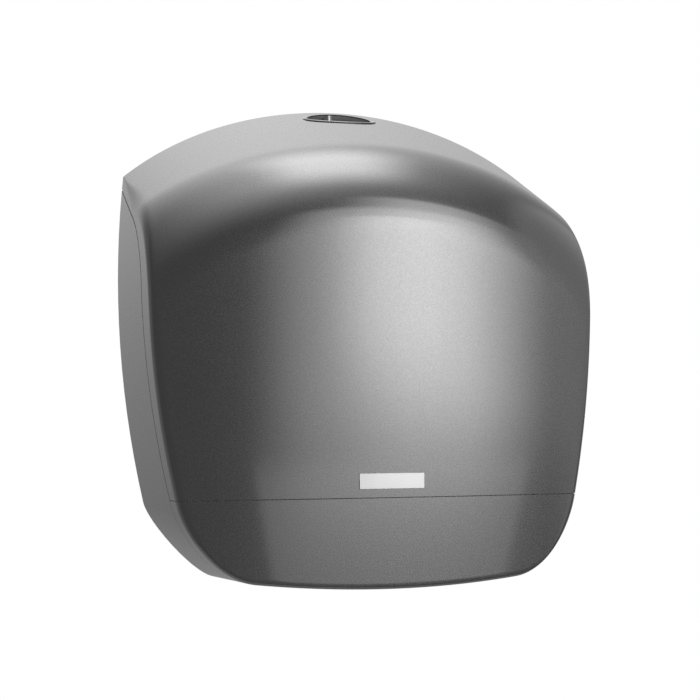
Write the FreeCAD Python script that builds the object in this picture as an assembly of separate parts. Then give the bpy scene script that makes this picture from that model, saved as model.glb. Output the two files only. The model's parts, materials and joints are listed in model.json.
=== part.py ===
import FreeCAD, Part
import math
import os

# Jumbo toilet roll dispenser, wall mounted, in millimetres.
# X runs to the right, Y into the wall (the wall plane is y = 0, the front faces -Y), Z up.
# Everything is drawn with z = 0 at the lowest point of the casing, and each piece is lowered
# on export, so that the origin is on the wall plane, in the middle of the wall screws.

Vector = FreeCAD.Vector
across = Vector(1, 0, 0)
outward = Vector(0, -1, 0)
inward = Vector(0, 1, 0)
upward = Vector(0, 0, 1)
downward = Vector(0, 0, -1)

overrun = 10.0                 # how far every cut and blank runs past what it meets
seam_gap = 0.6                 # between the cover, the chin and the cheeks
fit_gap = 0.3                  # between pieces that lie loosely together
running_gap = 0.05             # on the radius of a turning fit
press_gap = 0.02               # on the radius of a pressed or screwed fit

# Casing
body_height = 400.0            # crest of the roof at the wall
body_depth = 132.0             # wall to the middle of the front
widest_half_width = 190.0
widest_height = 249.0
side_radius = 813.0
bottom_radius = 1000.0
base_half_width = 110.0        # where the bottom ends and the lower corner begins
lower_corner_height = 69.0     # where the lower corner ends and the side begins
rear_corner_share = 0.27       # flatter lower corner at the wall
front_corner_share = 0.50      # rounder lower corner in front
arch_overhang = 10.0
arch_drop = 74.7
arch_handle_run = 105.0
roof_slope = 25.0              # degrees, falling towards the front
crown_radius = 825.0           # the front, seen from above
bend_radius = 85.0             # roof to front
rim_radius = 7.0               # front to sides
wall_rim_radius = 1.6          # the same edge where it reaches the wall
wall = 2.5

# Seams
seam_foot_set_back = 37.0      # cheek seam at z = 0, behind the middle of the front
seam_shoulder_set_back = 53.0  # where its two straight runs would meet
seam_shoulder_height = 279.0
seam_wall_height = 326.5       # where it reaches the wall
seam_corner_radius = 70.0
chin_seam_height = 72.0

# Back plate
origin_height = 203.0          # wall screws' middle, and the roll's axis
plate_thickness = 3.0
plate_margin = 1.2             # free space under the cover's roof
rim_height = 7.0
rim_thickness = 2.0
wall_screw_spacing_x = 220.0
wall_screw_spacing_z = 180.0
wall_hole_radius = 2.75
wall_boss_radius = 9.0
wall_boss_height = 5.5
rib_thickness = 2.0
rib_height = 5.0
lock_notch_half_width = 46.0

# Paper outlet and tear bars
outlet_half_width = 72.0
outlet_back = 8.0              # behind the paper's rear edge
outlet_set_back = 15.0         # its front edge behind the middle of the front
outlet_rim_thickness = 8.0
outlet_rim_height = 15.0
outlet_rim_set_back = 42.0
outlet_rim_rear = 26.0
bar_thickness = 1.2
bar_bottom = 3.6
bar_top = 14.0
tooth_pitch = 4.0
tooth_depth = 2.6
bar_screw_height = 10.5
bar_screw_inset = 8.0

# Cover hinge
hinge_depth = 18.0
hinge_height = 14.0
hinge_pin_radius = 2.5
hinge_eye_radius = 6.5
arm_inner = 90.0
arm_thickness = 6.0
arm_height = 11.0
arm_side_gap = 1.0
ear_thickness = 5.0
pin_stub = 1.0
foot_set_back = 16.0           # arm's foot behind the middle of the front
foot_thickness = 2.5
foot_margin = 8.0
foot_bottom = 8.5
foot_top = 36.0
foot_screw_height = 30.0
foot_screw_inset = 4.0

# Chin tabs and their screws
tab_places = [-138.0, -48.0, 48.0, 138.0]
tab_half_width = 8.0
tab_thickness = 2.0
tab_stand = 5.0                # tab plate behind the inner face of the front
tab_root_drop = 10.0
tab_rise = 20.0
tab_screw_rise = 12.0
boss_radius = 3.6

# Small screws
screw_radius = 1.5
screw_head_radius = 3.0
screw_head_height = 1.8
screw_length = 8.0
screw_skin = 0.6               # plate left under the tip of a screw in the back plate
screw_slot_width = 0.8
screw_slot_depth = 0.9

# Ribs inside the cover
cover_rib_places = [-104.0, -35.0, 35.0, 104.0]
cover_rib_thickness = 1.8
cover_rib_height = 4.0
cover_rib_bottom = 110.0
cover_rib_drop = 70.0          # below the crest

# Name plate, left bare
badge_half_width = 27.5
badge_half_height = 6.2
badge_height = 85.2
badge_thickness = 0.8

# Spindle, roll hub and brake
flange_radius = 48.0
flange_thickness = 4.0
flange_boss_radius = 15.0
flange_boss_length = 9.0
flange_screw_circle = 37.0
flange_screw_count = 4
shaft_radius = 6.0
shaft_room = 37.0              # back plate to shaft and shaft to front, together
clip_groove_depth = 0.8
clip_thickness = 1.2
clip_width = 3.0
clip_gap_half_width = 2.6
clip_set_back = 2.4
felt_thickness = 2.0
felt_radius = 13.5
spring_thickness = 1.0
spring_radius = 12.5
hub_radius = 28.0
hub_wall = 2.5
hub_flange_radius = 46.0
hub_flange_thickness = 2.5
hub_room = 48.0                # the same at both ends of the hub
hub_core_radius = 12.0
hub_rib_count = 6
hub_rib_thickness = 2.0
bush_radius = 9.0
bush_length = 11.0
cap_thickness = 2.5
cap_lip_length = 5.0
cap_lip_thickness = 2.0
cap_edge_radius = 1.6

# Lock in the roof
lock_depth = 14.5              # wall to the middle of the lock
lock_half_length = 30.0
lock_half_width = 9.5
lock_lip = 3.0                 # bezel outside the hole in the roof
lock_lip_inner = 1.6           # and inside it
lock_lip_height = 0.9
lock_floor_drop = 20.0         # below the crest
lock_floor_thickness = 2.0
lock_wall = 1.5
lock_ear_reach = 12.0
lock_ear_half_width = 4.5
lock_screw_place = 38.0
button_centre = 11.5
button_half_length = 12.5
button_half_width = 5.0
button_rise = 8.0              # above the lock's floor
button_head = 3.2
stem_half_length = 4.0
stem_half_width = 3.0
stem_foot = 0.6
stem_foot_height = 2.0

# Key plug and cam
key_place = -10.3
key_radius = 3.9
key_rise = 14.5                # above the lock's floor, a little proud of the roof
key_tail_radius = 2.6
key_slot_width = 1.4
key_slot_length = 5.0
key_slot_depth = 3.0
collar_radius = 5.6
collar_length = 5.0
cam_thickness = 2.0
cam_reach = 10.0
cam_half_width = 3.2
cam_gap = 0.5
cam_nut_radius = 4.4
cam_nut_height = 1.8
cam_nut_sides = 6

# Latch, its pin and spring, and the keeper on the back plate
latch_depth = 26.0
latch_drop = 12.0              # below the lock's floor
latch_pin_radius = 1.5
latch_eye_radius = 3.4
latch_ear_radius = 5.0
latch_left = 1.5
latch_right = 29.0
latch_plate = 3.0
latch_plate_rise = 1.5         # above the latch's pin
latch_nose_depth = 6.0
nose_left = 19.5
nose_right = 28.0
nose_length = 3.2
nose_rise = 5.5
latch_ear_thickness = 2.5
latch_ear_gap = 0.4
latch_spring_room = 5.0
wire_radius = 0.35
spring_coil_radius = 2.4
spring_turns = 4
keeper_left = 17.5
keeper_right = 32.0
keeper_thickness = 2.0
keeper_rise = 9.4              # above the latch's pin
keeper_drop = 18.0             # below it
keeper_lip_rise = 3.6
keeper_reach = 12.0
keeper_screw_rise = 7.0
keeper_screw_inset = 3.8
strike_left = -5.0             # the keeper's arm that the key's cam turns behind
strike_width = 3.2
strike_drop = 6.0              # below the latch's pin
strike_reach = 20.6
strike_lip_drop = 1.5

seam_foot_depth = body_depth - seam_foot_set_back
seam_shoulder_depth = body_depth - seam_shoulder_set_back
outlet_front = body_depth - outlet_set_back
outlet_rim_front = body_depth - outlet_rim_set_back
foot_depth = body_depth - foot_set_back
shaft_length = body_depth - shaft_room
hub_length = body_depth - hub_room

lock_floor = body_height - lock_floor_drop
button_top = lock_floor + button_rise
key_top = lock_floor + key_rise
latch_height = lock_floor - latch_drop
latch_top = latch_height + latch_plate_rise
keeper_top = latch_height + keeper_rise
keeper_bottom = latch_height - keeper_drop
keeper_lip_bottom = latch_height + keeper_lip_rise
strike_top = latch_height - strike_drop
strike_lip_top = latch_height - strike_lip_drop

tan_roof = math.tan(math.radians(roof_slope))
cos_roof = math.cos(math.radians(roof_slope))


def half_width(z, inset):
    rise = z - widest_height
    return widest_half_width - inset - side_radius + math.sqrt(side_radius ** 2 - rise ** 2)


def bottom_at(x):
    return bottom_radius - math.sqrt(bottom_radius ** 2 - x ** 2)


def front_at(x):
    return crown_radius - body_depth - math.sqrt(crown_radius ** 2 - x ** 2)


def curve(poles):
    bezier = Part.BezierCurve()
    bezier.setPoles(poles)
    return bezier.toShape()


def lower_corner(side, y, share, inset):
    x0 = base_half_width
    z0 = bottom_at(x0) + inset
    x1 = half_width(lower_corner_height, inset)
    z1 = lower_corner_height
    bottom_rate = x0 / (bottom_radius - bottom_at(x0))
    side_rate = (widest_height - z1) / (x1 - widest_half_width + inset + side_radius)
    out = share * (x1 - x0)
    down = share * (z1 - z0)
    poles = [
        Vector(side * x0, y, z0),
        Vector(side * (x0 + out), y, z0 + out * bottom_rate),
        Vector(side * (x1 - down * side_rate), y, z1 - down),
        Vector(side * x1, y, z1),
    ]
    return curve(poles)


def side_arc(side, y, inset):
    top = body_height + overrun
    middle = (lower_corner_height + top) / 2
    ends = [lower_corner_height, middle, top]
    points = [Vector(side * half_width(z, inset), y, z) for z in ends]
    return Part.Arc(*points).toShape()


def outline(y, share, inset):
    z0 = bottom_at(base_half_width) + inset
    left = Vector(-base_half_width, y, z0)
    right = Vector(base_half_width, y, z0)
    bottom = Part.Arc(left, Vector(0, y, inset), right).toShape()
    top = body_height + overrun
    reach = half_width(top, inset)
    lid = Part.makeLine(Vector(reach, y, top), Vector(-reach, y, top))
    edges = [
        bottom,
        lower_corner(1, y, share, inset),
        side_arc(1, y, inset),
        lid,
        side_arc(-1, y, inset),
        lower_corner(-1, y, share, inset),
    ]
    return Part.Wire(Part.__sortEdges__(edges))


def roof_blank(inset):
    # The arch over the wall, pushed forward and down along the roof's slope.
    span = widest_half_width + arch_overhang
    start = overrun * tan_roof - inset / cos_roof
    foot = body_height - arch_drop + start
    handle = foot + arch_drop * 4 / 3
    left = Vector(-span, overrun, foot)
    right = Vector(span, overrun, foot)
    arch = curve([
        left,
        Vector(arch_handle_run - span, overrun, handle),
        Vector(span - arch_handle_run, overrun, handle),
        right,
    ])
    low_left = Vector(-span, overrun, -body_height)
    low_right = Vector(span, overrun, -body_height)
    sides = Part.makePolygon([right, low_right, low_left, left])
    face = Part.Face(Part.Wire([arch] + sides.Edges))
    run = body_depth + overrun + overrun + overrun
    return face.extrude(Vector(0, -run, -run * tan_roof))


def middle_of(edge):
    return edge.valueAt((edge.FirstParameter + edge.LastParameter) / 2)


def bend_edge(shape):
    def is_bend(edge):
        point = middle_of(edge)
        return abs(point.x) < fit_gap and point.z > widest_height and point.y < -body_depth / 2
    return [edge for edge in shape.Edges if is_bend(edge)]


def rim_edges(shape, back):
    # Every edge between the front or roof and the sides, lower corners and bottom.
    picked = []
    for number, edge in enumerate(shape.Edges, 1):
        point = middle_of(edge)
        on_back = all(abs(vertex.Y - back) < fit_gap for vertex in edge.Vertexes)
        across_roof = abs(point.x) < fit_gap and point.z > widest_height
        along_side = point.y > -body_depth / 2 and point.z < widest_height
        if not (on_back or across_roof or along_side):
            picked.append((number, edge))
    return picked


def rounded_rims(shape, back, radius, wall_radius):
    document = FreeCAD.newDocument("rims")
    base = document.addObject("Part::Feature", "base")
    base.Shape = shape
    fillet = document.addObject("Part::Fillet", "fillet")
    fillet.Base = base
    entries = []
    for number, edge in rim_edges(shape, back):
        first = radius
        last = radius
        if abs(edge.Vertexes[0].Y - back) < fit_gap:
            first = wall_radius
        if abs(edge.Vertexes[-1].Y - back) < fit_gap:
            last = wall_radius
        entries.append((number, first, last))
    fillet.Edges = entries
    document.recompute()
    result = fillet.Shape.copy()
    FreeCAD.closeDocument(document.Name)
    return result.Solids[0]


def body(inset, back=0.0):
    front = -body_depth - overrun
    wires = [outline(back, rear_corner_share, inset), outline(front, front_corner_share, inset)]
    solid = Part.makeLoft(wires, True, True)
    solid = solid.common(roof_blank(inset))
    axis_foot = Vector(0, crown_radius - body_depth, -overrun)
    height = body_height + overrun + overrun
    crown = Part.makeCylinder(crown_radius - inset, height, axis_foot, upward)
    solid = solid.common(crown).Solids[0]
    solid = solid.makeFillet(bend_radius - inset, bend_edge(solid)).Solids[0]
    radius = max(rim_radius - inset, rim_radius / 3)
    wall_radius = max(wall_rim_radius - inset, wall_rim_radius / 2)
    return rounded_rims(solid, back, radius, wall_radius)


def box(x0, x1, y0, y1, z0, z1):
    return Part.makeBox(x1 - x0, y1 - y0, z1 - z0, Vector(x0, y0, z0))


def cylinder(radius, length, foot, axis):
    return Part.makeCylinder(radius, length, foot, axis)


def tube(outer, inner, length, foot, axis):
    hole = cylinder(inner, length + overrun + overrun, foot - axis * overrun, axis)
    return cylinder(outer, length, foot, axis).cut(hole)


def ellipse_prism(half_length, half_wide, z0, z1):
    centre = Vector(0, -lock_depth, z0)
    tip = centre + across * half_length
    side = centre + inward * half_wide
    wire = Part.Wire(Part.Ellipse(tip, side, centre).toShape())
    return Part.Face(wire).extrude(Vector(0, 0, z1 - z0))


def stadium_prism(x, y, half_long, half_wide, z0, z1):
    straight = half_long - half_wide
    height = z1 - z0
    block = box(x - straight, x + straight, y - half_wide, y + half_wide, z0, z1)
    left = cylinder(half_wide, height, Vector(x - straight, y, z0), upward)
    right = cylinder(half_wide, height, Vector(x + straight, y, z0), upward)
    return block.fuse([left, right]).removeSplitter()


def screw(place, axis, length=screw_length):
    # The head's underside is at place, and the shank runs along axis.
    head = cylinder(screw_head_radius, screw_head_height, place, axis * -1)
    shank = cylinder(screw_radius, length, place, axis)
    slot = Part.makeBox(screw_slot_width, screw_head_radius * 2, screw_slot_depth)
    slot_foot = screw_head_height - screw_slot_depth
    slot.translate(Vector(-screw_slot_width / 2, -screw_head_radius, slot_foot))
    turn = FreeCAD.Placement(place, FreeCAD.Rotation(upward, axis * -1))
    slot.Placement = turn.multiply(slot.Placement)
    return head.fuse(shank).cut(slot)


def screw_hole(place, axis, length=screw_length):
    return cylinder(screw_radius + press_gap, length + fit_gap, place, axis)


def seam_region(offset):
    # What lies behind the cheek seam: down from the wall, round the shoulder, to the foot.
    depth = seam_shoulder_depth + offset
    fall = (seam_wall_height - seam_shoulder_height) / seam_shoulder_depth
    wall_height = seam_wall_height + offset
    corner = Vector(0, -depth, wall_height - fall * depth)
    rate = (seam_foot_depth - seam_shoulder_depth) / seam_shoulder_height
    start = Vector(0, overrun, wall_height + fall * overrun)
    foot = Vector(0, -seam_foot_depth - offset - rate * overrun, -overrun)
    radius = seam_corner_radius + offset
    to_start = (start - corner).normalize()
    to_foot = (foot - corner).normalize()
    half_turn = to_start.getAngle(to_foot) / 2
    tangent = radius / math.tan(half_turn)
    bisector = (to_start + to_foot).normalize()
    first = corner + to_start * tangent
    last = corner + to_foot * tangent
    crest = corner + bisector * (radius / math.sin(half_turn) - radius)
    edges = [
        Part.makeLine(start, first),
        Part.Arc(first, crest, last).toShape(),
        Part.makeLine(last, foot),
    ]
    back = Vector(0, overrun, -overrun)
    edges += Part.makePolygon([foot, back, start]).Edges
    face = Part.Face(Part.Wire(edges))
    span = widest_half_width + overrun
    face.translate(across * -span)
    return face.extrude(across * span * 2)


def slab(depth):
    span = widest_half_width + overrun
    return box(-span, span, -depth, 0, -overrun, body_height + overrun)


def above(height):
    span = widest_half_width + overrun
    return box(-span, span, -body_depth - overrun, overrun, height, body_height + overrun)


def below(height):
    span = widest_half_width + overrun
    return box(-span, span, -body_depth - overrun, overrun, -overrun, height)


def wall_screw_places():
    places = []
    for side in (-1, 1):
        for level in (-1, 1):
            x = side * wall_screw_spacing_x / 2
            z = origin_height + level * wall_screw_spacing_z / 2
            places.append(Vector(x, 0, z))
    return places


def flange_screw_places():
    places = []
    for number in range(flange_screw_count):
        angle = math.pi * (2 * number + 1) / flange_screw_count
        x = flange_screw_circle * math.cos(angle)
        z = origin_height + flange_screw_circle * math.sin(angle)
        places.append(Vector(x, -plate_thickness - flange_thickness, z))
    return places


def plate_screw_length(place):
    return -place.y - screw_skin


def bar_screw_places(side):
    ends = [outlet_rim_rear + bar_screw_inset, outlet_rim_front - bar_screw_inset]
    x = side * (outlet_half_width - bar_thickness)
    return [Vector(x, -depth, bar_screw_height) for depth in ends]


def keeper_screw_places():
    xs = [keeper_left + keeper_screw_inset, keeper_right - keeper_screw_inset]
    y = -plate_thickness - keeper_thickness
    return [Vector(x, y, keeper_bottom + keeper_screw_rise) for x in xs]


def foot_screw_places(side):
    foot_left = arm_inner - foot_margin + foot_screw_inset
    foot_right = arm_inner + arm_thickness + foot_margin - foot_screw_inset
    y = foot_thickness - foot_depth
    return [Vector(side * x, y, foot_screw_height) for x in (foot_left, foot_right)]


def tab_back(x):
    return front_at(x) + wall + tab_stand + tab_thickness


def tab_screw_places():
    z = chin_seam_height + tab_screw_rise
    return [Vector(x, tab_back(x), z) for x in tab_places]


def lock_screw_places():
    z = lock_floor - lock_floor_thickness
    return [Vector(side * lock_screw_place, -lock_depth, z) for side in (-1, 1)]


def hinge_ear(side, x0, x1):
    low = bottom_at(x1) + wall / 2
    eye = cylinder(hinge_eye_radius, x1 - x0, Vector(x0, -hinge_depth, hinge_height), across)
    top = hinge_height + hinge_eye_radius
    web = box(x0, x1, -hinge_depth, -plate_thickness / 2, low, top)
    root = box(x0, x1, -hinge_depth - hinge_eye_radius, -plate_thickness / 2, low, hinge_height)
    ear = eye.fuse([web, root])
    hole_foot = Vector(x0 - overrun, -hinge_depth, hinge_height)
    length = x1 - x0 + overrun + overrun
    ear = ear.cut(cylinder(hinge_pin_radius + press_gap, length, hole_foot, across))
    return ear if side > 0 else ear.mirror(Vector(0, 0, 0), across)


def hinge_ears():
    inner = arm_inner - arm_side_gap - ear_thickness
    outer = arm_inner + arm_thickness + arm_side_gap
    ears = []
    for side in (-1, 1):
        ears.append(hinge_ear(side, inner, inner + ear_thickness))
        ears.append(hinge_ear(side, outer, outer + ear_thickness))
    return ears


def arm_slot(side):
    x0 = arm_inner - arm_side_gap
    x1 = arm_inner + arm_thickness + arm_side_gap
    slot = box(x0, x1, -body_depth, -outlet_back, -overrun, hinge_height)
    return slot if side > 0 else slot.mirror(Vector(0, 0, 0), across)


def outlet_rim(side):
    x0 = outlet_half_width
    x1 = outlet_half_width + outlet_rim_thickness
    rim = box(x0, x1, -outlet_rim_front, -outlet_rim_rear, bottom_at(x0) + wall / 2, outlet_rim_height)
    return rim if side > 0 else rim.mirror(Vector(0, 0, 0), across)


def back_plate_ribs():
    # Four ribs run from the spindle flange towards the wall screws.
    ribs = []
    for place in wall_screw_places():
        out = Vector(place.x, 0, place.z - origin_height)
        length = out.Length - wall_boss_radius + rib_thickness
        rib = box(flange_radius + fit_gap, length, -rib_height - plate_thickness, 0,
                  -rib_thickness / 2, rib_thickness / 2)
        turn = -math.degrees(math.atan2(out.z, out.x))
        rib.rotate(Vector(0, 0, 0), inward, turn)
        rib.translate(upward * origin_height)
        ribs.append(rib)
    return ribs


def rear_housing(outer, hollow):
    region = seam_region(0)
    cheeks = outer.cut(hollow).common(region)
    low_plate = outer.common(slab(plate_thickness)).common(region)
    under_roof = body(wall + plate_margin)
    high_plate = under_roof.common(slab(plate_thickness))
    band = under_roof.cut(body(wall + plate_margin + rim_thickness, overrun))
    notch = box(-lock_notch_half_width, lock_notch_half_width, -rim_height - overrun,
                -plate_thickness, lock_floor, body_height)
    band = band.common(slab(rim_height)).cut([region, notch])
    bosses = [cylinder(wall_boss_radius, plate_thickness + wall_boss_height, place, outward)
              for place in wall_screw_places()]
    added = [low_plate, high_plate, band] + bosses + back_plate_ribs() + hinge_ears()
    added += [outlet_rim(side) for side in (-1, 1)]
    housing = cheeks.fuse(added)
    cuts = [arm_slot(side) for side in (-1, 1)]
    outlet = box(-outlet_half_width, outlet_half_width, -body_depth, -outlet_back,
                 -overrun, outlet_rim_height)
    cuts.append(outlet)
    for place in wall_screw_places():
        start = place + inward * overrun
        cuts.append(cylinder(wall_hole_radius, overrun + overrun + overrun, start, outward))
    for place in flange_screw_places() + keeper_screw_places():
        cuts.append(screw_hole(place, inward, plate_screw_length(place)))
    for side in (-1, 1):
        cuts += [screw_hole(place, across * side) for place in bar_screw_places(side)]
    return housing.cut(cuts).removeSplitter()


def tab(x):
    face = front_at(x) + wall + tab_stand
    low = chin_seam_height - tab_root_drop
    plate = box(x - tab_half_width, x + tab_half_width, face, face + tab_thickness,
                low, chin_seam_height + tab_rise)
    root = box(x - tab_half_width, x + tab_half_width, front_at(x) + wall / 2, face + tab_thickness,
               low, chin_seam_height - seam_gap)
    return plate.fuse(root)


def foot_bosses(side, outer):
    bosses = []
    for place in foot_screw_places(side):
        length = body_depth - foot_depth
        foot = Vector(place.x, -foot_depth, place.z)
        bosses.append(cylinder(boss_radius, length, foot, outward).common(outer))
    return bosses


def chin_panel(outer, shell):
    chin = shell.common(below(chin_seam_height - seam_gap / 2))
    added = [tab(x) for x in tab_places]
    for side in (-1, 1):
        added += foot_bosses(side, outer)
    chin = chin.fuse(added)
    outlet = box(-outlet_half_width, outlet_half_width, -outlet_front, 0, -overrun, outlet_rim_height)
    cuts = [outlet] + [screw_hole(place, outward) for place in tab_screw_places()]
    for side in (-1, 1):
        cuts += [screw_hole(place, outward) for place in foot_screw_places(side)]
    return chin.cut(cuts)


def cover_ribs(outer):
    band = outer.cut(body(wall + cover_rib_height, overrun))
    front = -body_depth / 2
    blanks = []
    for x in cover_rib_places:
        left = x - cover_rib_thickness / 2
        blanks.append(box(left, left + cover_rib_thickness, -body_depth, front,
                          cover_rib_bottom, body_height - cover_rib_drop))
    return band.common(Part.makeCompound(blanks))


def cover_shell(outer, shell):
    cover = shell.common(above(chin_seam_height + seam_gap / 2))
    bosses = cover_ribs(outer).Solids
    for place in tab_screw_places():
        foot = place + outward * tab_thickness
        length = tab_stand + wall / 2
        bosses.append(cylinder(boss_radius, length, foot, outward))
    for place in lock_screw_places():
        foot = place + upward * lock_floor_thickness
        bosses.append(cylinder(boss_radius, body_height - lock_floor, foot, upward).common(outer))
    cover = cover.fuse(bosses)
    hole = ellipse_prism(lock_half_length, lock_half_width, lock_floor, body_height + overrun)
    cuts = [hole]
    cuts += [screw_hole(place, outward) for place in tab_screw_places()]
    cuts += [screw_hole(place, upward) for place in lock_screw_places()]
    return cover.cut(cuts)


def name_plate(outer):
    raised = body(-badge_thickness).cut(outer)
    blank = box(-badge_half_width, badge_half_width, -body_depth - overrun, -body_depth / 2,
                badge_height - badge_half_height, badge_height + badge_half_height)
    return raised.common(blank)


def spindle_flange():
    foot = Vector(0, -plate_thickness, origin_height)
    disc = cylinder(flange_radius, flange_thickness, foot, outward)
    boss = cylinder(flange_boss_radius, flange_thickness + flange_boss_length, foot, outward)
    flange = disc.fuse(boss)
    bore = cylinder(shaft_radius + press_gap, shaft_length, foot, outward)
    cuts = [bore]
    for place in flange_screw_places():
        cuts.append(cylinder(screw_radius + press_gap, flange_thickness + overrun, place, inward))
    return flange.cut(cuts)


def spindle_shaft():
    foot = Vector(0, -plate_thickness, origin_height)
    shaft = cylinder(shaft_radius, shaft_length, foot, outward)
    groove_foot = foot + outward * (shaft_length - clip_set_back - clip_thickness)
    groove = tube(shaft_radius + overrun, shaft_radius - clip_groove_depth, clip_thickness,
                  groove_foot, outward)
    return shaft.cut(groove)


def shaft_clip():
    foot = Vector(0, clip_set_back + clip_thickness - shaft_length - plate_thickness, origin_height)
    inner = shaft_radius - clip_groove_depth + press_gap
    ring = tube(shaft_radius + clip_width, inner, clip_thickness - fit_gap, foot, outward)
    reach = shaft_radius + clip_width
    mouth = box(-clip_gap_half_width, clip_gap_half_width, foot.y - clip_thickness, foot.y,
                origin_height - reach, origin_height)
    return ring.cut(mouth)


def brake_start():
    return plate_thickness + flange_thickness + flange_boss_length


def brake_felt():
    foot = Vector(0, -brake_start() - spring_thickness, origin_height)
    return tube(felt_radius, shaft_radius + fit_gap, felt_thickness, foot, outward)


def brake_spring():
    foot = Vector(0, -brake_start(), origin_height)
    return tube(spring_radius, shaft_radius + fit_gap, spring_thickness, foot, outward)


def hub_start():
    return brake_start() + spring_thickness + felt_thickness + fit_gap


def roll_hub():
    foot = Vector(0, -hub_start(), origin_height)
    flange = cylinder(hub_flange_radius, hub_flange_thickness, foot, outward)
    sleeve = cylinder(hub_radius, hub_length, foot, outward)
    hub = flange.fuse(sleeve)
    hollow_foot = foot + outward * hub_flange_thickness
    hollow = tube(hub_radius - hub_wall, hub_core_radius, hub_length, hollow_foot, outward)
    hub = hub.cut(hollow)
    ribs = []
    for number in range(hub_rib_count):
        rib = box(hub_core_radius - fit_gap, hub_radius - hub_wall + fit_gap,
                  cap_lip_length + fit_gap - hub_start() - hub_length, -hub_start(),
                  -hub_rib_thickness / 2, hub_rib_thickness / 2)
        rib.rotate(Vector(0, 0, 0), inward, math.degrees(2 * math.pi * number / hub_rib_count))
        rib.translate(upward * origin_height)
        ribs.append(rib)
    hub = hub.fuse(ribs)
    bore_foot = foot + inward * fit_gap
    bore = cylinder(shaft_radius + fit_gap + fit_gap, hub_length + overrun, bore_foot, outward)
    rear_seat = cylinder(bush_radius + press_gap, bush_length, foot, outward)
    front_foot = foot + outward * bush_front_offset()
    front_seat = cylinder(bush_radius + press_gap, hub_length, front_foot, outward)
    return hub.cut([bore, rear_seat, front_seat])


def bush_front_offset():
    inner_end = shaft_length + plate_thickness - clip_set_back - clip_thickness - fit_gap
    return inner_end - bush_length - hub_start()


def hub_bush(offset):
    foot = Vector(0, -hub_start() - offset, origin_height)
    return tube(bush_radius, shaft_radius + running_gap, bush_length, foot, outward)


def hub_cap():
    foot = Vector(0, -hub_start() - hub_length, origin_height)
    disc = cylinder(hub_radius, cap_thickness, foot, outward)
    front_edges = [edge for edge in disc.Edges
                   if abs(edge.BoundBox.YMin - foot.y + cap_thickness) < fit_gap
                   and edge.BoundBox.YLength < fit_gap]
    disc = disc.makeFillet(cap_edge_radius, front_edges)
    outer = hub_radius - hub_wall - press_gap
    lip = tube(outer, outer - cap_lip_thickness, cap_lip_length, foot + inward * cap_lip_length, outward)
    return disc.fuse(lip)


def tear_bar(side):
    depth = outlet_rim_front - outlet_rim_rear
    count = int(depth / tooth_pitch)
    pitch = depth / count
    points = [Vector(0, -outlet_rim_rear, bar_top), Vector(0, -outlet_rim_front, bar_top),
              Vector(0, -outlet_rim_front, bar_bottom + tooth_depth)]
    for number in range(count):
        start = -outlet_rim_front + number * pitch
        points.append(Vector(0, start + pitch / 2, bar_bottom))
        points.append(Vector(0, start + pitch, bar_bottom + tooth_depth))
    points.append(points[0])
    bar = Part.Face(Part.makePolygon(points)).extrude(across * bar_thickness)
    bar.translate(across * (outlet_half_width - bar_thickness))
    if side < 0:
        bar = bar.mirror(Vector(0, 0, 0), across)
    holes = [cylinder(screw_radius + press_gap, bar_thickness + overrun, place, across * side)
             for place in bar_screw_places(side)]
    return bar.cut(holes)


def hinge_pin(side):
    x0 = arm_inner - arm_side_gap - ear_thickness - pin_stub
    x1 = arm_inner + arm_thickness + arm_side_gap + ear_thickness + pin_stub
    pin = cylinder(hinge_pin_radius, x1 - x0, Vector(x0, -hinge_depth, hinge_height), across)
    return pin if side > 0 else pin.mirror(Vector(0, 0, 0), across)


def hinge_arm(side):
    x0 = arm_inner
    x1 = arm_inner + arm_thickness
    eye = cylinder(hinge_eye_radius, arm_thickness, Vector(x0, -hinge_depth, hinge_height), across)
    bar = box(x0, x1, -foot_depth, -hinge_depth, hinge_height - arm_height / 2,
              hinge_height + arm_height / 2)
    foot = box(x0 - foot_margin, x1 + foot_margin, -foot_depth, foot_thickness - foot_depth,
               foot_bottom, foot_top)
    web = Part.Face(Part.makePolygon([
        Vector(x0, foot_thickness - foot_depth, hinge_height),
        Vector(x0, foot_thickness - foot_depth, foot_top),
        Vector(x0, foot_thickness + foot_top - hinge_height - foot_depth, hinge_height),
        Vector(x0, foot_thickness - foot_depth, hinge_height),
    ])).extrude(across * arm_thickness)
    arm = eye.fuse([bar, foot, web])
    hole_foot = Vector(x0 - overrun, -hinge_depth, hinge_height)
    length = arm_thickness + overrun + overrun
    arm = arm.cut(cylinder(hinge_pin_radius + running_gap, length, hole_foot, across))
    if side < 0:
        arm = arm.mirror(Vector(0, 0, 0), across)
    holes = [cylinder(screw_radius + press_gap, foot_thickness + overrun, place, outward)
             for place in foot_screw_places(side)]
    return arm.cut(holes)


def lock_bezel(outer):
    raised = body(-lock_lip_height).cut(outer)
    top = body_height + overrun
    lip = ellipse_prism(lock_half_length + lock_lip, lock_half_width + lock_lip, lock_floor, top)
    lip = lip.common(raised)
    sleeve = ellipse_prism(lock_half_length - press_gap, lock_half_width - press_gap, lock_floor, top)
    sleeve = sleeve.common(body(-lock_lip_height).cut(body(wall)))
    opening = ellipse_prism(lock_half_length - lock_lip_inner, lock_half_width - lock_lip_inner,
                            lock_floor - overrun, top)
    return lip.fuse(sleeve).cut(opening)


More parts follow.
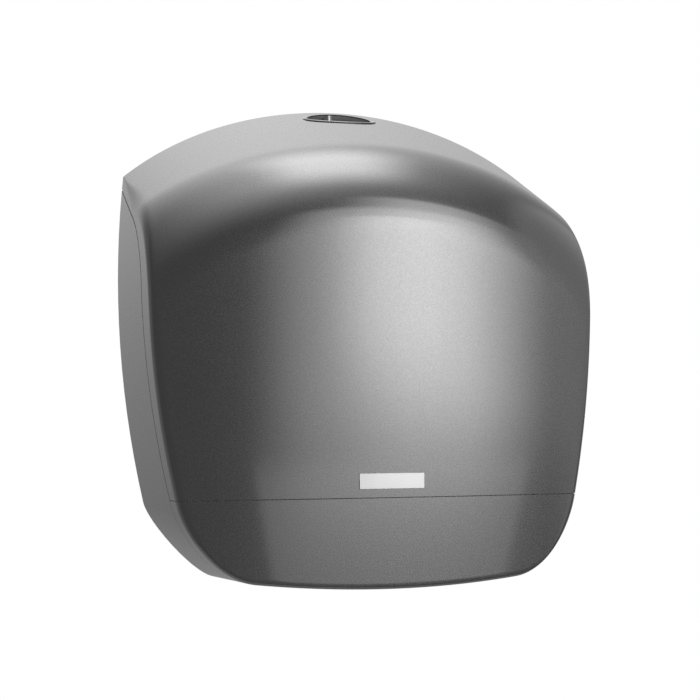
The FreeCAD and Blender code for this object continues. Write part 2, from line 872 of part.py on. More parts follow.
def lock_body():
    z0 = lock_floor - lock_floor_thickness
    inner_long = lock_half_length - lock_lip_inner
    inner_wide = lock_half_width - lock_lip_inner
    wall_outer = ellipse_prism(inner_long + lock_wall, inner_wide + lock_wall, z0, body_height)
    wall_inner = ellipse_prism(inner_long, inner_wide, lock_floor, body_height)
    dish = wall_outer.cut(wall_inner).common(body(wall + fit_gap))
    reach = lock_half_length + lock_ear_reach
    ears = box(-reach, reach, -lock_depth - lock_ear_half_width, lock_ear_half_width - lock_depth,
               z0, lock_floor)
    ears = ears.cut(wall_inner)
    inner_ear = latch_left - latch_ear_gap - latch_ear_thickness
    outer_ear = latch_right + latch_spring_room
    cheeks = []
    for x in (inner_ear, outer_ear):
        eye = cylinder(latch_ear_radius, latch_ear_thickness,
                       Vector(x, -latch_depth, latch_height), across)
        plate = box(x, x + latch_ear_thickness, -latch_depth - latch_ear_radius,
                    latch_ear_radius - latch_depth, latch_height, lock_floor)
        cheeks += [eye, plate]
    bridge = box(inner_ear, outer_ear + latch_ear_thickness, -latch_depth - latch_eye_radius,
                 -lock_depth, z0, lock_floor).cut(wall_inner)
    collar = cylinder(collar_radius, collar_length, Vector(key_place, -lock_depth, z0), downward)
    solid = dish.fuse([ears, bridge, collar] + cheeks)
    low = latch_height - overrun
    key_hole = cylinder(key_radius + running_gap, overrun + overrun + overrun,
                        Vector(key_place, -lock_depth, low), upward)
    stem_long = stem_half_length + fit_gap
    stem_wide = stem_half_width + fit_gap
    stem_hole = box(button_centre - stem_long, button_centre + stem_long,
                    -lock_depth - stem_wide, stem_wide - lock_depth, low, body_height)
    pin_hole = cylinder(latch_pin_radius + press_gap, outer_ear - inner_ear + overrun + overrun,
                        Vector(inner_ear - overrun, -latch_depth, latch_height), across)
    screws = [screw_hole(place, upward) for place in lock_screw_places()]
    return solid.cut([key_hole, stem_hole, pin_hole] + screws)


def push_button():
    head_bottom = button_top - button_head
    head = stadium_prism(button_centre, -lock_depth, button_half_length, button_half_width,
                         head_bottom, button_top)
    stem_end = latch_top + fit_gap
    stem = box(button_centre - stem_half_length, button_centre + stem_half_length,
               -lock_depth - stem_half_width, stem_half_width - lock_depth, stem_end, head_bottom)
    catch_top = lock_floor - lock_floor_thickness - fit_gap
    reach = stem_half_length + fit_gap + stem_foot
    catch = box(button_centre - reach, button_centre + reach,
                -lock_depth - stem_half_width, stem_half_width - lock_depth,
                catch_top - stem_foot_height, catch_top)
    return head.fuse([stem, catch])


def key_plug():
    neck = lock_floor - lock_floor_thickness - collar_length
    plug = cylinder(key_radius, key_top - neck, Vector(key_place, -lock_depth, neck), upward)
    tail_end = cam_top() - cam_thickness - cam_nut_height
    tail = cylinder(key_tail_radius, neck - tail_end, Vector(key_place, -lock_depth, tail_end), upward)
    slot = box(key_place - key_slot_width / 2, key_place + key_slot_width / 2,
               -lock_depth - key_slot_length / 2, key_slot_length / 2 - lock_depth,
               key_top - key_slot_depth, key_top + overrun)
    return plug.fuse(tail).cut(slot)


def cam_top():
    return latch_top - latch_plate - cam_gap


def key_cam():
    z0 = cam_top() - cam_thickness
    centre = Vector(key_place, -lock_depth, z0)
    hub = cylinder(cam_nut_radius, cam_thickness, centre, upward)
    arm = box(key_place - cam_half_width, key_place + cam_half_width, -lock_depth,
              cam_reach - lock_depth, z0, cam_top())
    hole = cylinder(key_tail_radius + press_gap, cam_thickness + overrun, centre, upward)
    return hub.fuse(arm).cut(hole)


def cam_nut():
    z0 = cam_top() - cam_thickness - cam_nut_height
    points = []
    for number in range(cam_nut_sides):
        angle = 2 * math.pi * number / cam_nut_sides
        x = key_place + cam_nut_radius * math.cos(angle)
        y = cam_nut_radius * math.sin(angle) - lock_depth
        points.append(Vector(x, y, z0))
    points.append(points[0])
    nut = Part.Face(Part.makePolygon(points)).extrude(upward * cam_nut_height)
    foot = Vector(key_place, -lock_depth, z0)
    return nut.cut(cylinder(key_tail_radius + press_gap, cam_nut_height, foot, upward))


def latch_hook():
    length = latch_right - latch_left
    eye = cylinder(latch_eye_radius, length, Vector(latch_left, -latch_depth, latch_height), across)
    plate = box(latch_left, latch_right, -latch_depth, -latch_nose_depth,
                latch_top - latch_plate, latch_top)
    nose_front = -latch_nose_depth - nose_length
    nose = Part.Face(Part.makePolygon([
        Vector(nose_left, nose_front, latch_top - latch_plate),
        Vector(nose_left, nose_front, latch_top + nose_rise),
        Vector(nose_left, -latch_nose_depth, latch_top),
        Vector(nose_left, -latch_nose_depth, latch_top - latch_plate),
        Vector(nose_left, nose_front, latch_top - latch_plate),
    ])).extrude(across * (nose_right - nose_left))
    hook = eye.fuse([plate, nose])
    hole_foot = Vector(latch_left - overrun, -latch_depth, latch_height)
    hole_length = length + overrun + overrun
    return hook.cut(cylinder(latch_pin_radius + running_gap, hole_length, hole_foot, across))


def latch_pin():
    x0 = latch_left - latch_ear_gap - latch_ear_thickness - pin_stub / 2
    x1 = latch_right + latch_spring_room + latch_ear_thickness + pin_stub / 2
    return cylinder(latch_pin_radius, x1 - x0, Vector(x0, -latch_depth, latch_height), across)


def latch_spring():
    pitch = (latch_spring_room - wire_radius * 4) / spring_turns
    helix = Part.makeHelix(pitch, pitch * spring_turns, spring_coil_radius)
    start = helix.Edges[0].valueAt(helix.Edges[0].FirstParameter)
    heading = helix.Edges[0].tangentAt(helix.Edges[0].FirstParameter)
    section = Part.Wire(Part.makeCircle(wire_radius, start, heading))
    coil = Part.Wire(helix.Edges).makePipeShell([section], True, True)
    coil.rotate(Vector(0, 0, 0), inward, 90)
    coil.translate(Vector(latch_right + wire_radius * 2, -latch_depth, latch_height))
    return coil


def latch_keeper():
    y0 = -plate_thickness
    flange = box(keeper_left, keeper_right, y0 - keeper_thickness, y0, keeper_bottom, keeper_top)
    shelf = box(keeper_left, keeper_right, -keeper_reach, y0, keeper_top - keeper_thickness, keeper_top)
    lip = box(keeper_left, keeper_right, -keeper_reach, keeper_thickness - keeper_reach,
              keeper_lip_bottom, keeper_top)
    foot = box(strike_left, keeper_left, y0 - keeper_thickness, y0, keeper_bottom, strike_top)
    strike_right = strike_left + strike_width
    arm = box(strike_left, strike_right, -strike_reach, y0, strike_top - keeper_thickness, strike_top)
    stop = box(strike_left, strike_right, -strike_reach, keeper_thickness - strike_reach,
               strike_top - keeper_thickness, strike_lip_top)
    keeper = flange.fuse([shelf, lip, foot, arm, stop]).removeSplitter()
    holes = [cylinder(screw_radius + press_gap, keeper_thickness + overrun, place, inward)
             for place in keeper_screw_places()]
    return keeper.cut(holes)


def screw_group(places, axis):
    return Part.makeCompound([screw(place, axis) for place in places])


def plate_screws(places):
    return Part.makeCompound([screw(place, inward, plate_screw_length(place)) for place in places])


def screw_pair_groups(places_for, axis_for):
    screws = []
    for side in (-1, 1):
        screws += [screw(place, axis_for(side)) for place in places_for(side)]
    return Part.makeCompound(screws)


def save(name, shape):
    solids = [solid.copy() for solid in shape.Solids]
    for solid in solids:
        solid.translate(downward * origin_height)
    result = solids[0] if len(solids) == 1 else Part.makeCompound(solids)
    result.exportStep("parts/" + name + ".step")
    volume = sum(solid.Volume for solid in solids)
    print(name, "solids", len(solids), "valid", result.isValid(), "volume", round(volume, 1))


def main():
    os.makedirs("parts", exist_ok=True)
    outer = body(0)
    hollow = body(wall, overrun)
    shell = outer.cut(hollow).cut(seam_region(seam_gap))
    save("rear_housing", rear_housing(outer, hollow))
    save("spindle_flange", spindle_flange())
    save("flange_screws", plate_screws(flange_screw_places()))
    save("spindle_shaft", spindle_shaft())
    save("brake_spring", brake_spring())
    save("brake_felt", brake_felt())
    save("shaft_clip", shaft_clip())
    save("roll_hub", roll_hub())
    save("hub_bush_rear", hub_bush(0))
    save("hub_bush_front", hub_bush(bush_front_offset()))
    save("hub_cap", hub_cap())
    for side, label in ((-1, "left"), (1, "right")):
        save("tear_bar_" + label, tear_bar(side))
        save("hinge_pin_" + label, hinge_pin(side))
        save("hinge_arm_" + label, hinge_arm(side))
    save("tear_bar_screws", screw_pair_groups(bar_screw_places, lambda side: across * side))
    save("hinge_arm_screws", screw_pair_groups(foot_screw_places, lambda side: outward))
    save("latch_keeper", latch_keeper())
    save("keeper_screws", plate_screws(keeper_screw_places()))
    save("cover_shell", cover_shell(outer, shell))
    save("chin_panel", chin_panel(outer, shell))
    save("chin_screws", screw_group(tab_screw_places(), outward))
    save("name_plate", name_plate(outer))
    save("lock_bezel", lock_bezel(outer))
    save("lock_body", lock_body())
    save("lock_screws", screw_group(lock_screw_places(), upward))
    save("push_button", push_button())
    save("key_plug", key_plug())
    save("key_cam", key_cam())
    save("cam_nut", cam_nut())
    save("latch_hook", latch_hook())
    save("latch_pin", latch_pin())
    save("latch_spring", latch_spring())


main()
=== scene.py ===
import json
import math

import bmesh
import bpy
from mathutils import Matrix, Vector


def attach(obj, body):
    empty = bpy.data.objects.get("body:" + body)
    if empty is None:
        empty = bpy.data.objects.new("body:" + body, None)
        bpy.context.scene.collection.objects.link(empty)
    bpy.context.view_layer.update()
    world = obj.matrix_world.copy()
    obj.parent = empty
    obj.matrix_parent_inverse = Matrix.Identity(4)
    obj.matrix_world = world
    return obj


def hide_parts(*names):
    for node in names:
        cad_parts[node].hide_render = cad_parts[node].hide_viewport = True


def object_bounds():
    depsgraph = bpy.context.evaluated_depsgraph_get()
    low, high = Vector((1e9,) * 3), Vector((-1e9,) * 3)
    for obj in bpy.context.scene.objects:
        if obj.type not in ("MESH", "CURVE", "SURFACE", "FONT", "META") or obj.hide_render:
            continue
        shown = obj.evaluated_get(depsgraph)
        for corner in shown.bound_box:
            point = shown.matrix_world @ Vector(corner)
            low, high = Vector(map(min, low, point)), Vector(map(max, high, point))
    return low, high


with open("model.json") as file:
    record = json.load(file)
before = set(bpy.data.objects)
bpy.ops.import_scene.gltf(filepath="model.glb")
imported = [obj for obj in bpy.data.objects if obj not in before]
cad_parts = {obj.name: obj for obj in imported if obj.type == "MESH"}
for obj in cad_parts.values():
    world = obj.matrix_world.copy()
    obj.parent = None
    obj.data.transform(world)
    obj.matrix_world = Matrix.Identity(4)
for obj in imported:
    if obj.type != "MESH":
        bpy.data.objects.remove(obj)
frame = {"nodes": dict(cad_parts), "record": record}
cadLow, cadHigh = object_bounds()
nodes = frame["nodes"]
print("frame loaded:", len(nodes), "nodes")

mm = 0.001
originHeight = 203.0  # the frame's zero is this far above the casing's lowest point
scene = bpy.context.scene


def inFrame(point):
    return (point.x * mm, point.y * mm, (point.z - originHeight) * mm)


# Shader expressions


class Sock:
    # One socket of a node tree; sums, differences and products of it add their Math nodes
    def __init__(self, tree, socket):
        self.tree = tree
        self.socket = socket

    def out(self, name):
        return Sock(self.tree, self.socket.node.outputs[name])

    def __add__(self, other):
        return mathNode("ADD", self, other)

    def __radd__(self, other):
        return mathNode("ADD", other, self)

    def __sub__(self, other):
        return mathNode("SUBTRACT", self, other)

    def __rsub__(self, other):
        return mathNode("SUBTRACT", other, self)

    def __mul__(self, other):
        return mathNode("MULTIPLY", self, other)


def feed(tree, slot, value):
    if isinstance(value, Sock):
        tree.links.new(value.socket, slot)
    else:
        slot.default_value = value


def addNode(tree, kind, settings, sockets):
    node = tree.nodes.new(kind)
    for key, value in settings.items():
        setattr(node, key, value)
    for key, value in sockets.items():
        feed(tree, node.inputs[key], value)
    return Sock(tree, node.outputs[0])


def mathNode(operation, *values):
    tree = next(value.tree for value in values if isinstance(value, Sock))
    return addNode(tree, "ShaderNodeMath", {"operation": operation}, dict(enumerate(values)))


def ramp(value, low, high, start=0.0, end=1.0):
    limits = {"Value": value, "From Min": low, "From Max": high, "To Min": start, "To Max": end}
    return addNode(value.tree, "ShaderNodeMapRange", {"interpolation_type": "SMOOTHSTEP"}, limits)


def mixColour(factor, dark, light):
    mix = addNode(factor.tree, "ShaderNodeMix", {"data_type": "RGBA"}, {0: factor, 6: dark, 7: light})
    return mix.out(2)


def noise(where, scale, detail=2.0):
    return addNode(where.tree, "ShaderNodeTexNoise", {}, {"Vector": where, "Scale": scale, "Detail": detail})


def bumped(height, strength, distance):
    sockets = {"Strength": strength, "Distance": distance, "Height": height}
    return addNode(height.tree, "ShaderNodeBump", {}, sockets)


def newMaterial(name):
    material = bpy.data.materials.new(name)
    material.use_nodes = True
    tree = material.node_tree
    where = addNode(tree, "ShaderNodeTexCoord", {}, {}).out("Object")
    return material, tree.nodes["Principled BSDF"], where


def setShader(shader, where, sockets):
    for key, value in sockets.items():
        feed(where.tree, shader.inputs[key], value)


def grey(value, warm=0.0):
    return (value * (1 + warm), value, value * (1 - warm), 1)


# Finishes

paint = {
    "dark": 0.135, "light": 0.185, "flakeScale": 1150, "grainScale": 620, "mottleScale": 11,
    "flakeShare": 0.5, "grainShare": 0.4, "mottleShare": 0.1, "flakeHeight": 0.6,
    "roughness": 0.25, "flakeSpread": 0.08, "mottleSpread": 0.04, "bump": 0.035, "bumpDistance": 0.0003,
    "coatRoughness": 0.06, "coatIndex": 2.1,
    "bareDark": 0.099, "bareLight": 0.121, "bareRoughness": 0.46, "bareSpread": 0.1,
}
plastic = {
    "cloudScale": 18.0, "grainShare": 0.4, "cloudShare": 0.6, "roughSpread": 0.12, "bumpDistance": 0.0002,
}
metal = {
    "cloudScale": 30.0, "streakShare": 0.6, "cloudShare": 0.4, "dark": 0.84, "light": 1.1,
    "roughSpread": 0.2, "bump": 0.08, "bumpDistance": 0.0001,
}


def makePaint(name, share):
    # Graphite metal flake under a clear coat outside, bare moulded plastic inside
    material, shader, where = newMaterial(name)
    outside = addNode(where.tree, "ShaderNodeAttribute", {"attribute_name": "outside"}, {}).out("Fac")
    flakes = addNode(where.tree, "ShaderNodeTexVoronoi", {}, {"Vector": where, "Scale": paint["flakeScale"]})
    flake = addNode(where.tree, "ShaderNodeSeparateColor", {}, {"Color": flakes.out("Color")})
    grain = noise(where, paint["grainScale"], 3.0)
    mottle = noise(where, paint["mottleScale"])
    tone = flake * paint["flakeShare"] + grain * paint["grainShare"] + mottle * paint["mottleShare"]
    height = flake.out("Blue") * paint["flakeHeight"] + grain
    painted = mixColour(tone, grey(paint["dark"] * share), grey(paint["light"] * share))
    bare = mixColour(grain, grey(paint["bareDark"]), grey(paint["bareLight"]))
    gloss = paint["roughness"] + (flake.out("Green") - 0.5) * paint["flakeSpread"]
    gloss = gloss + (mottle - 0.5) * paint["mottleSpread"]
    satin = paint["bareRoughness"] + (mottle - 0.5) * paint["bareSpread"]
    setShader(shader, where, {
        "Base Color": mixColour(outside, bare, painted),
        "Roughness": satin + outside * (gloss - satin),
        "Normal": bumped(height, paint["bump"], paint["bumpDistance"]),
        "Metallic": outside,
        "Coat Weight": outside,
        "Coat Roughness": paint["coatRoughness"],
        "Coat IOR": paint["coatIndex"],
    })
    return material


def makeMoulded(name, tone, roughness, grainScale=900, bump=0.15, spread=0.12):
    # Grained plastic or felt
    material, shader, where = newMaterial(name)
    grain = noise(where, grainScale, 3.0)
    cloud = noise(where, plastic["cloudScale"], 3.0)
    shade = grain * plastic["grainShare"] + cloud * plastic["cloudShare"]
    setShader(shader, where, {
        "Base Color": mixColour(shade, grey(tone * (1 - spread)), grey(tone * (1 + spread))),
        "Roughness": roughness + (cloud - 0.5) * plastic["roughSpread"],
        "Normal": bumped(grain, bump, plastic["bumpDistance"]),
    })
    return material


def makeMetal(name, tone, roughness, stretch, streakScale=160.0):
    # Metal with streaks drawn out by the stretch
    material, shader, where = newMaterial(name)
    along = addNode(where.tree, "ShaderNodeMapping", {}, {"Vector": where, "Scale": stretch})
    streaks = noise(along, streakScale, 4.0)
    cloud = noise(where, metal["cloudScale"])
    shade = streaks * metal["streakShare"] + cloud * metal["cloudShare"]
    setShader(shader, where, {
        "Base Color": mixColour(shade, grey(tone * metal["dark"]), grey(tone * metal["light"])),
        "Roughness": roughness + (streaks - 0.5) * metal["roughSpread"],
        "Normal": bumped(streaks, metal["bump"], metal["bumpDistance"]),
        "Metallic": 1.0,
    })
    return material


finish = {
    "cover": makePaint("graphitePaint", 1.0),
    "housing": makePaint("cheekPaint", 1.05),
    "hub": makeMoulded("hubPlastic", 0.28, 0.45),
    "bush": makeMoulded("bushPlastic", 0.62, 0.38, bump=0.05),
    "felt": makeMoulded("brakeFelt", 0.07, 0.95, grainScale=2600, bump=0.9, spread=0.35),
    "steel": makeMetal("zincSteel", 0.58, 0.32, (1.0, 1.0, 40.0)),
    "plate": makeMetal("satinPlate", 0.86, 0.34, (1.0, 1.0, 1.0), 700.0),
    "bezel": makePaint("bezelPaint", 1.15),
    "lock": makeMoulded("lockPlastic", 0.045, 0.35),
    "plug": makeMetal("plugMetal", 0.5, 0.3, (1.0, 1.0, 30.0)),
}
for part in frame["record"]["subparts"]:
    mesh = nodes[part["node"]].data
    mesh.materials.clear()
    mesh.materials.append(finish[part["material_slot"]])
print("finishes made:", len(finish))


# Casing surfaces, in millimetres above the casing's lowest point

casing = {
    "crest": 400.0, "depth": 132.0, "halfWidth": 190.0, "widestAt": 249.0, "sideRadius": 813.0,
    "bottomRadius": 1000.0, "baseHalf": 110.0, "cornerTop": 69.0,
    "rearShare": 0.27, "frontShare": 0.50, "shareRun": 142.0,
    "archSpan": 200.0, "archDrop": 74.7, "archHandle": 105.0, "roofSlope": 25.0,
    "crownRadius": 825.0, "bendRadius": 85.0, "rimRadius": 7.0, "wallRimRadius": 1.6, "wall": 2.5,
    "roofRimSwell": 12.0, "swellRun": 1.7, "footRimRadius": 2.6, "shrinkRun": 0.7,
    "seamFoot": 95.0, "seamShoulder": 79.0, "seamShoulderHeight": 279.0, "seamWallHeight": 326.5,
    "seamCorner": 70.0, "seamGap": 0.6, "cheekGap": 1.4, "chinSeam": 72.0,
}
roofFall = math.tan(math.radians(casing["roofSlope"]))
sideCentre = casing["halfWidth"] - casing["sideRadius"]
crownCentre = casing["crownRadius"] - casing["depth"]
middleShare, farShare = 0.5, 1.4  # along the arch: its middle, and past the right end
halvings = 36
seamSteps = 24


def roofPoint(t, depth):
    span = casing["archSpan"]
    handle = span - casing["archHandle"]
    rise = casing["archDrop"] * 4 / 3
    s = 1 - t
    x = span * (t ** 3 - s ** 3) + 3 * handle * s * t * (t - s)
    z = casing["crest"] - casing["archDrop"] + rise * 3 * s * t
    dx = 3 * (span - handle) * (s * s + t * t) + 12 * handle * s * t
    dz = rise * 3 * (s - t)
    return Vector((x, -depth, z - depth * roofFall)), Vector((-dz, -dx * roofFall, dx)).normalized()


def halved(inside, outside, look):
    # look(t) tells whether t is inside, and what is there; gives t and what is there at the border
    for step in range(halvings):
        t = (inside + outside) / 2
        isInside, found = look(t)
        if isInside:
            inside = t
        else:
            outside = t
    return t, found


def roofAt(x, y):
    # The roof's point and normal over a place in plan
    def look(t):
        point, normal = roofPoint(t, -y)
        return point.x < x, (point, normal)

    return halved(0.0, 1.0, look)[1]


def bendAt(t):
    # The ball that rolls between the roof and the front
    crest, up = roofPoint(t, 0)
    radius = casing["bendRadius"]
    inner = casing["crownRadius"] - radius
    x = crest.x - radius * up.x
    y = crownCentre - math.sqrt(inner ** 2 - x ** 2)
    depth = -y - radius * up.y
    centre = roofPoint(t, depth)[0] - up * radius
    return depth, centre, up, Vector((x, y - crownCentre, 0)).normalized()


def facePoint(v, t, low):
    # v runs 0 to 1 over the roof, to 2 round the bend and to 3 down the front
    depth, centre, up, front = bendAt(t)
    if v <= 1:
        return roofPoint(t, depth * v)
    if v <= 2:
        normal = up.slerp(front, v - 1)
        return centre + normal * casing["bendRadius"], normal
    foot = centre + front * casing["bendRadius"]
    return Vector((foot.x, foot.y, centre.z + (low - centre.z) * (v - 2))), front


def sideX(z, inset=0.0):
    return sideCentre + math.sqrt((casing["sideRadius"] - inset) ** 2 - (z - casing["widestAt"]) ** 2)


def sideNormal(x, z):
    return Vector((x - sideCentre, 0, z - casing["widestAt"])).normalized()


def rimAt(v, low):
    # The ball that rolls between the roof or front and the side
    small, large = casing["wallRimRadius"], casing["rimRadius"]
    radius = small + (large - small) * min(v, 1)
    if v < casing["swellRun"]:
        radius += casing["roofRimSwell"] * math.sin(math.pi * v / casing["swellRun"]) ** 2

    def look(t):
        point, normal = facePoint(v, t, low)
        centre = point - normal * radius
        return centre.x < sideX(centre.z, radius), (centre, normal)

    t, (centre, normal) = halved(middleShare, farShare, look)
    return t, centre, normal, sideNormal(centre.x, centre.z), radius


def seamCorner(offset):
    depth = casing["seamShoulder"] + offset
    fall = (casing["seamWallHeight"] - casing["seamShoulderHeight"]) / casing["seamShoulder"]
    rate = (casing["seamFoot"] - casing["seamShoulder"]) / casing["seamShoulderHeight"]
    top = casing["seamWallHeight"] + offset
    return Vector((0, -depth, top - fall * depth)), fall, rate


def seamDepth(z, offset):
    # Straight lower run of the seam between cover and cheek
    corner, fall, rate = seamCorner(offset)
    return corner.y + (z - corner.z) * rate


def seamLine(offset, low):
    corner, fall, rate = seamCorner(offset)
    toWall = Vector((0, 1, fall)).normalized()
    toFoot = Vector((0, -rate, -1)).normalized()
    radius = casing["seamCorner"] + offset
    half = toWall.angle(toFoot) / 2
    reach = radius / math.tan(half)
    middle = corner + (toWall + toFoot).normalized() * (radius / math.sin(half))
    first = (corner + toWall * reach - middle).normalized()
    last = (corner + toFoot * reach - middle).normalized()
    line = [Vector((0, 0, corner.z - corner.y * fall))]
    line += [middle + first.slerp(last, n / seamSteps) * radius for n in range(seamSteps + 1)]
    line.append(Vector((0, seamDepth(low, offset), low)))
    return line


def alongLine(line, share):
    lengths = [(b - a).length for a, b in zip(line, line[1:])]
    left = share * sum(lengths)
    for a, b, length in zip(line, line[1:], lengths):
        if left <= length:
            return a.lerp(b, left / length)
        left -= length
    return line[-1].copy()


def mirrored(vector):
    return Vector((-vector.x, vector.y, vector.z))


def fullRow(half):
    # half runs from the middle out to the right; entries are (point, normal, flat)
    left = [(mirrored(p), mirrored(n), flat) for p, n, flat in half[:0:-1]]
    return left + half


class Skin:
    # Collects the outer face of a moulding; close() gives it its wall
    def __init__(self):
        self.entries = []
        self.faces = []
        self.known = {}

    def vertex(self, entry):
        point = entry[0]
        key = (round(point.x, 4), round(point.y, 4), round(point.z, 4))
        if key not in self.known:
            self.known[key] = len(self.entries)
            self.entries.append(entry)
        return self.known[key]

    def grid(self, rows):
        numbers = [[self.vertex(entry) for entry in row] for row in rows]
        for upper, lower in zip(numbers, numbers[1:]):
            for a, b, c, d in zip(upper, upper[1:], lower[1:], lower):
                loop = [n for k, n in enumerate((a, b, c, d)) if n != (a, b, c, d)[k - 1]]
                if len(loop) > 2:
                    self.face(loop)

    def face(self, loop):
        points = [self.entries[n][0] for n in loop]
        across = (points[1] - points[0]).cross(points[-1] - points[0])
        if across.length < 1e-9:
            across = (points[2] - points[1]).cross(points[0] - points[1])
        outward = sum((self.entries[n][1] for n in loop), Vector())
        self.faces.append(loop if across.dot(outward) > 0 else loop[::-1])

    def close(self, name, wall):
        count = len(self.entries)
        inner = []
        for point, normal, flat in self.entries:
            place = point - normal * wall
            place.z += (point.z - place.z) * flat
            inner.append(toWallPlane(place))
        edges = {}
        for loop in self.faces:
            for a, b in zip(loop, loop[1:] + loop[:1]):
                edges[a, b] = True
        faces = list(self.faces)
        faces += [[n + count for n in reversed(loop)] for loop in self.faces]
        faces += [[b, a, a + count, b + count] for a, b in edges if (b, a) not in edges]
        mesh = bpy.data.meshes.new(name)
        mesh.from_pydata([inFrame(e[0]) for e in self.entries] + [inFrame(p) for p in inner], [], faces)
        markOutside(mesh, [1.0] * count + [0.0] * count)
        return addPiece(name, mesh)


def markOutside(mesh, values, domain="POINT"):
    # 1 where the finish is the outer paint, 0 where the plastic is bare
    shares = mesh.attributes.new("outside", "FLOAT", domain)
    shares.data.foreach_set("value", values)


def toWallPlane(point):
    # Whatever stands behind the wall plane slides forward along the roof's fall
    if point.y > 0:
        point.z -= point.y * roofFall
        point.y = 0.0
    return point


def addPiece(name, mesh):
    piece = bpy.data.objects.new(name, mesh)
    scene.collection.objects.link(piece)
    return piece


def smooth(piece, angle=20):
    piece.data.shade_smooth()
    piece.data.set_sharp_from_angle(angle=math.radians(angle))
    return piece


def applied(piece):
    # Replaces the piece's mesh with what its modifiers make of it
    graph = bpy.context.evaluated_depsgraph_get()
    mesh = bpy.data.meshes.new_from_object(piece.evaluated_get(graph))
    piece.modifiers.clear()
    piece.data = mesh
    return piece


def softEdges(piece, width):
    bevel = piece.modifiers.new("softEdges", "BEVEL")
    bevel.width = width * mm
    bevel.segments = 2
    bevel.limit_method = "ANGLE"
    bevel.angle_limit = math.radians(40)
    bevel.use_clamp_overlap = True
    return piece


def carve(piece, cutter):
    cut = piece.modifiers.new("carve", "BOOLEAN")
    cut.operation = "DIFFERENCE"
    cut.solver = "EXACT"
    cut.object = cutter
    applied(piece)
    bpy.data.objects.remove(cutter)


def prism(name, outline, z0, z1):
    # A closed block over an outline in plan, given in millimetres
    count = len(outline)
    points = [inFrame(Vector((x, y, z0))) for x, y in outline]
    points += [inFrame(Vector((x, y, z1))) for x, y in outline]
    faces = [list(range(count))[::-1], list(range(count, 2 * count))]
    faces += [[n, (n + 1) % count, (n + 1) % count + count, n + count] for n in range(count)]
    mesh = bpy.data.meshes.new(name)
    mesh.from_pydata(points, [], faces)
    return addPiece(name, mesh)


def ellipse(halfLong, halfWide, y, count):
    turns = [2 * math.pi * n / count for n in range(count)]
    return [(halfLong * math.cos(a), y + halfWide * math.sin(a)) for a in turns]


def dress(piece, body, slot, *replaced):
    piece.data.materials.clear()
    piece.data.materials.append(finish[slot])
    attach(piece, body)
    if replaced:
        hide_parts(*replaced)


coverRows = {"roof": 14, "bend": 30, "front": 36, "face": 52, "arc": 7, "strip": 9}


def coverRowValues():
    rows = coverRows
    values = [n / rows["roof"] for n in range(rows["roof"])]
    values += [1 + n / rows["bend"] for n in range(rows["bend"])]
    return values + [2 + n / rows["front"] for n in range(rows["front"] + 1)]


def makeCover():
    low = casing["chinSeam"] + casing["seamGap"] / 2
    values = coverRowValues()
    rims = [rimAt(v, low) for v in values]
    halves = []
    for v, (edge, centre, normal, side, radius) in zip(values, rims):
        flat = max(v - 2, 0) ** 4
        half = []
        for n in range(coverRows["face"] + 1):
            share = middleShare + (edge - middleShare) * n / coverRows["face"]
            point, out = facePoint(v, share, low)
            half.append((point, out, flat))
        level = half[-1][0].z
        for n in range(1, coverRows["arc"] + 1):
            out = normal.slerp(side, n / coverRows["arc"])
            point = centre + out * radius
            drop = (level - point.z) * flat
            point.x += sideX(point.z + drop) - sideX(point.z)
            point.z += drop
            half.append((toWallPlane(point), out, flat))
        halves.append(half)
    feet = [Vector((0, half[-1][0].y, half[-1][0].z)) for half in halves]
    total = sum((b - a).length for a, b in zip(feet, feet[1:]))
    seam = seamLine(casing["cheekGap"], low)
    run = 0.0
    skin = Skin()
    rows = []
    for number, half in enumerate(halves):
        if number:
            run += (feet[number] - feet[number - 1]).length
        goal = alongLine(seam, run / total)
        start, flat = feet[number], half[-1][2]
        for n in range(1, coverRows["strip"] + 1):
            spot = start.lerp(goal, n / coverRows["strip"])
            spot.x = sideX(spot.z)
            half.append((spot, sideNormal(spot.x, spot.z), flat))
        rows.append(fullRow(half))
    skin.grid(rows)
    return skin.close("cover", casing["wall"])


chinRows = {"side": 3, "corner": 44, "bottom": 26, "arc": 7, "strip": 7, "split": 22, "flatRun": 14,
            "settle": 6}


def ringPoint(q, y):
    # q runs 0 to 1 down the side, to 2 round the lower corner and to 3 along the bottom
    top, base = casing["cornerTop"], casing["baseHalf"]
    radius = casing["bottomRadius"]
    if q <= 1:
        z = casing["chinSeam"] + (top - casing["chinSeam"]) * q
        return Vector((sideX(z), y, z))
    if q >= 2:
        x = base * (3 - q)
        return Vector((x, y, radius - math.sqrt(radius ** 2 - x ** 2)))
    share = casing["rearShare"] - (casing["frontShare"] - casing["rearShare"]) * y / casing["shareRun"]
    x1, x0 = sideX(top), base
    z0 = radius - math.sqrt(radius ** 2 - base ** 2)
    out, down = share * (x1 - x0), share * (top - z0)
    poles = [
        Vector((x1, y, top)),
        Vector((x1 - down * (casing["widestAt"] - top) / (x1 - sideCentre), y, top - down)),
        Vector((x0 + out, y, z0 + out * base / (radius - z0))),
        Vector((x0, y, z0)),
    ]
    t = q - 1
    s = 1 - t
    return poles[0] * s ** 3 + poles[1] * (3 * s * s * t) + poles[2] * (3 * s * t * t) + poles[3] * t ** 3


def ringNormal(q, y):
    step = 1e-3
    along = ringPoint(min(q + step, 3.0), y) - ringPoint(max(q - step, 0.0), y)
    normal = along.cross(ringPoint(q, y + step) - ringPoint(q, y - step)).normalized()
    return normal if normal.x - normal.z > 0 else -normal


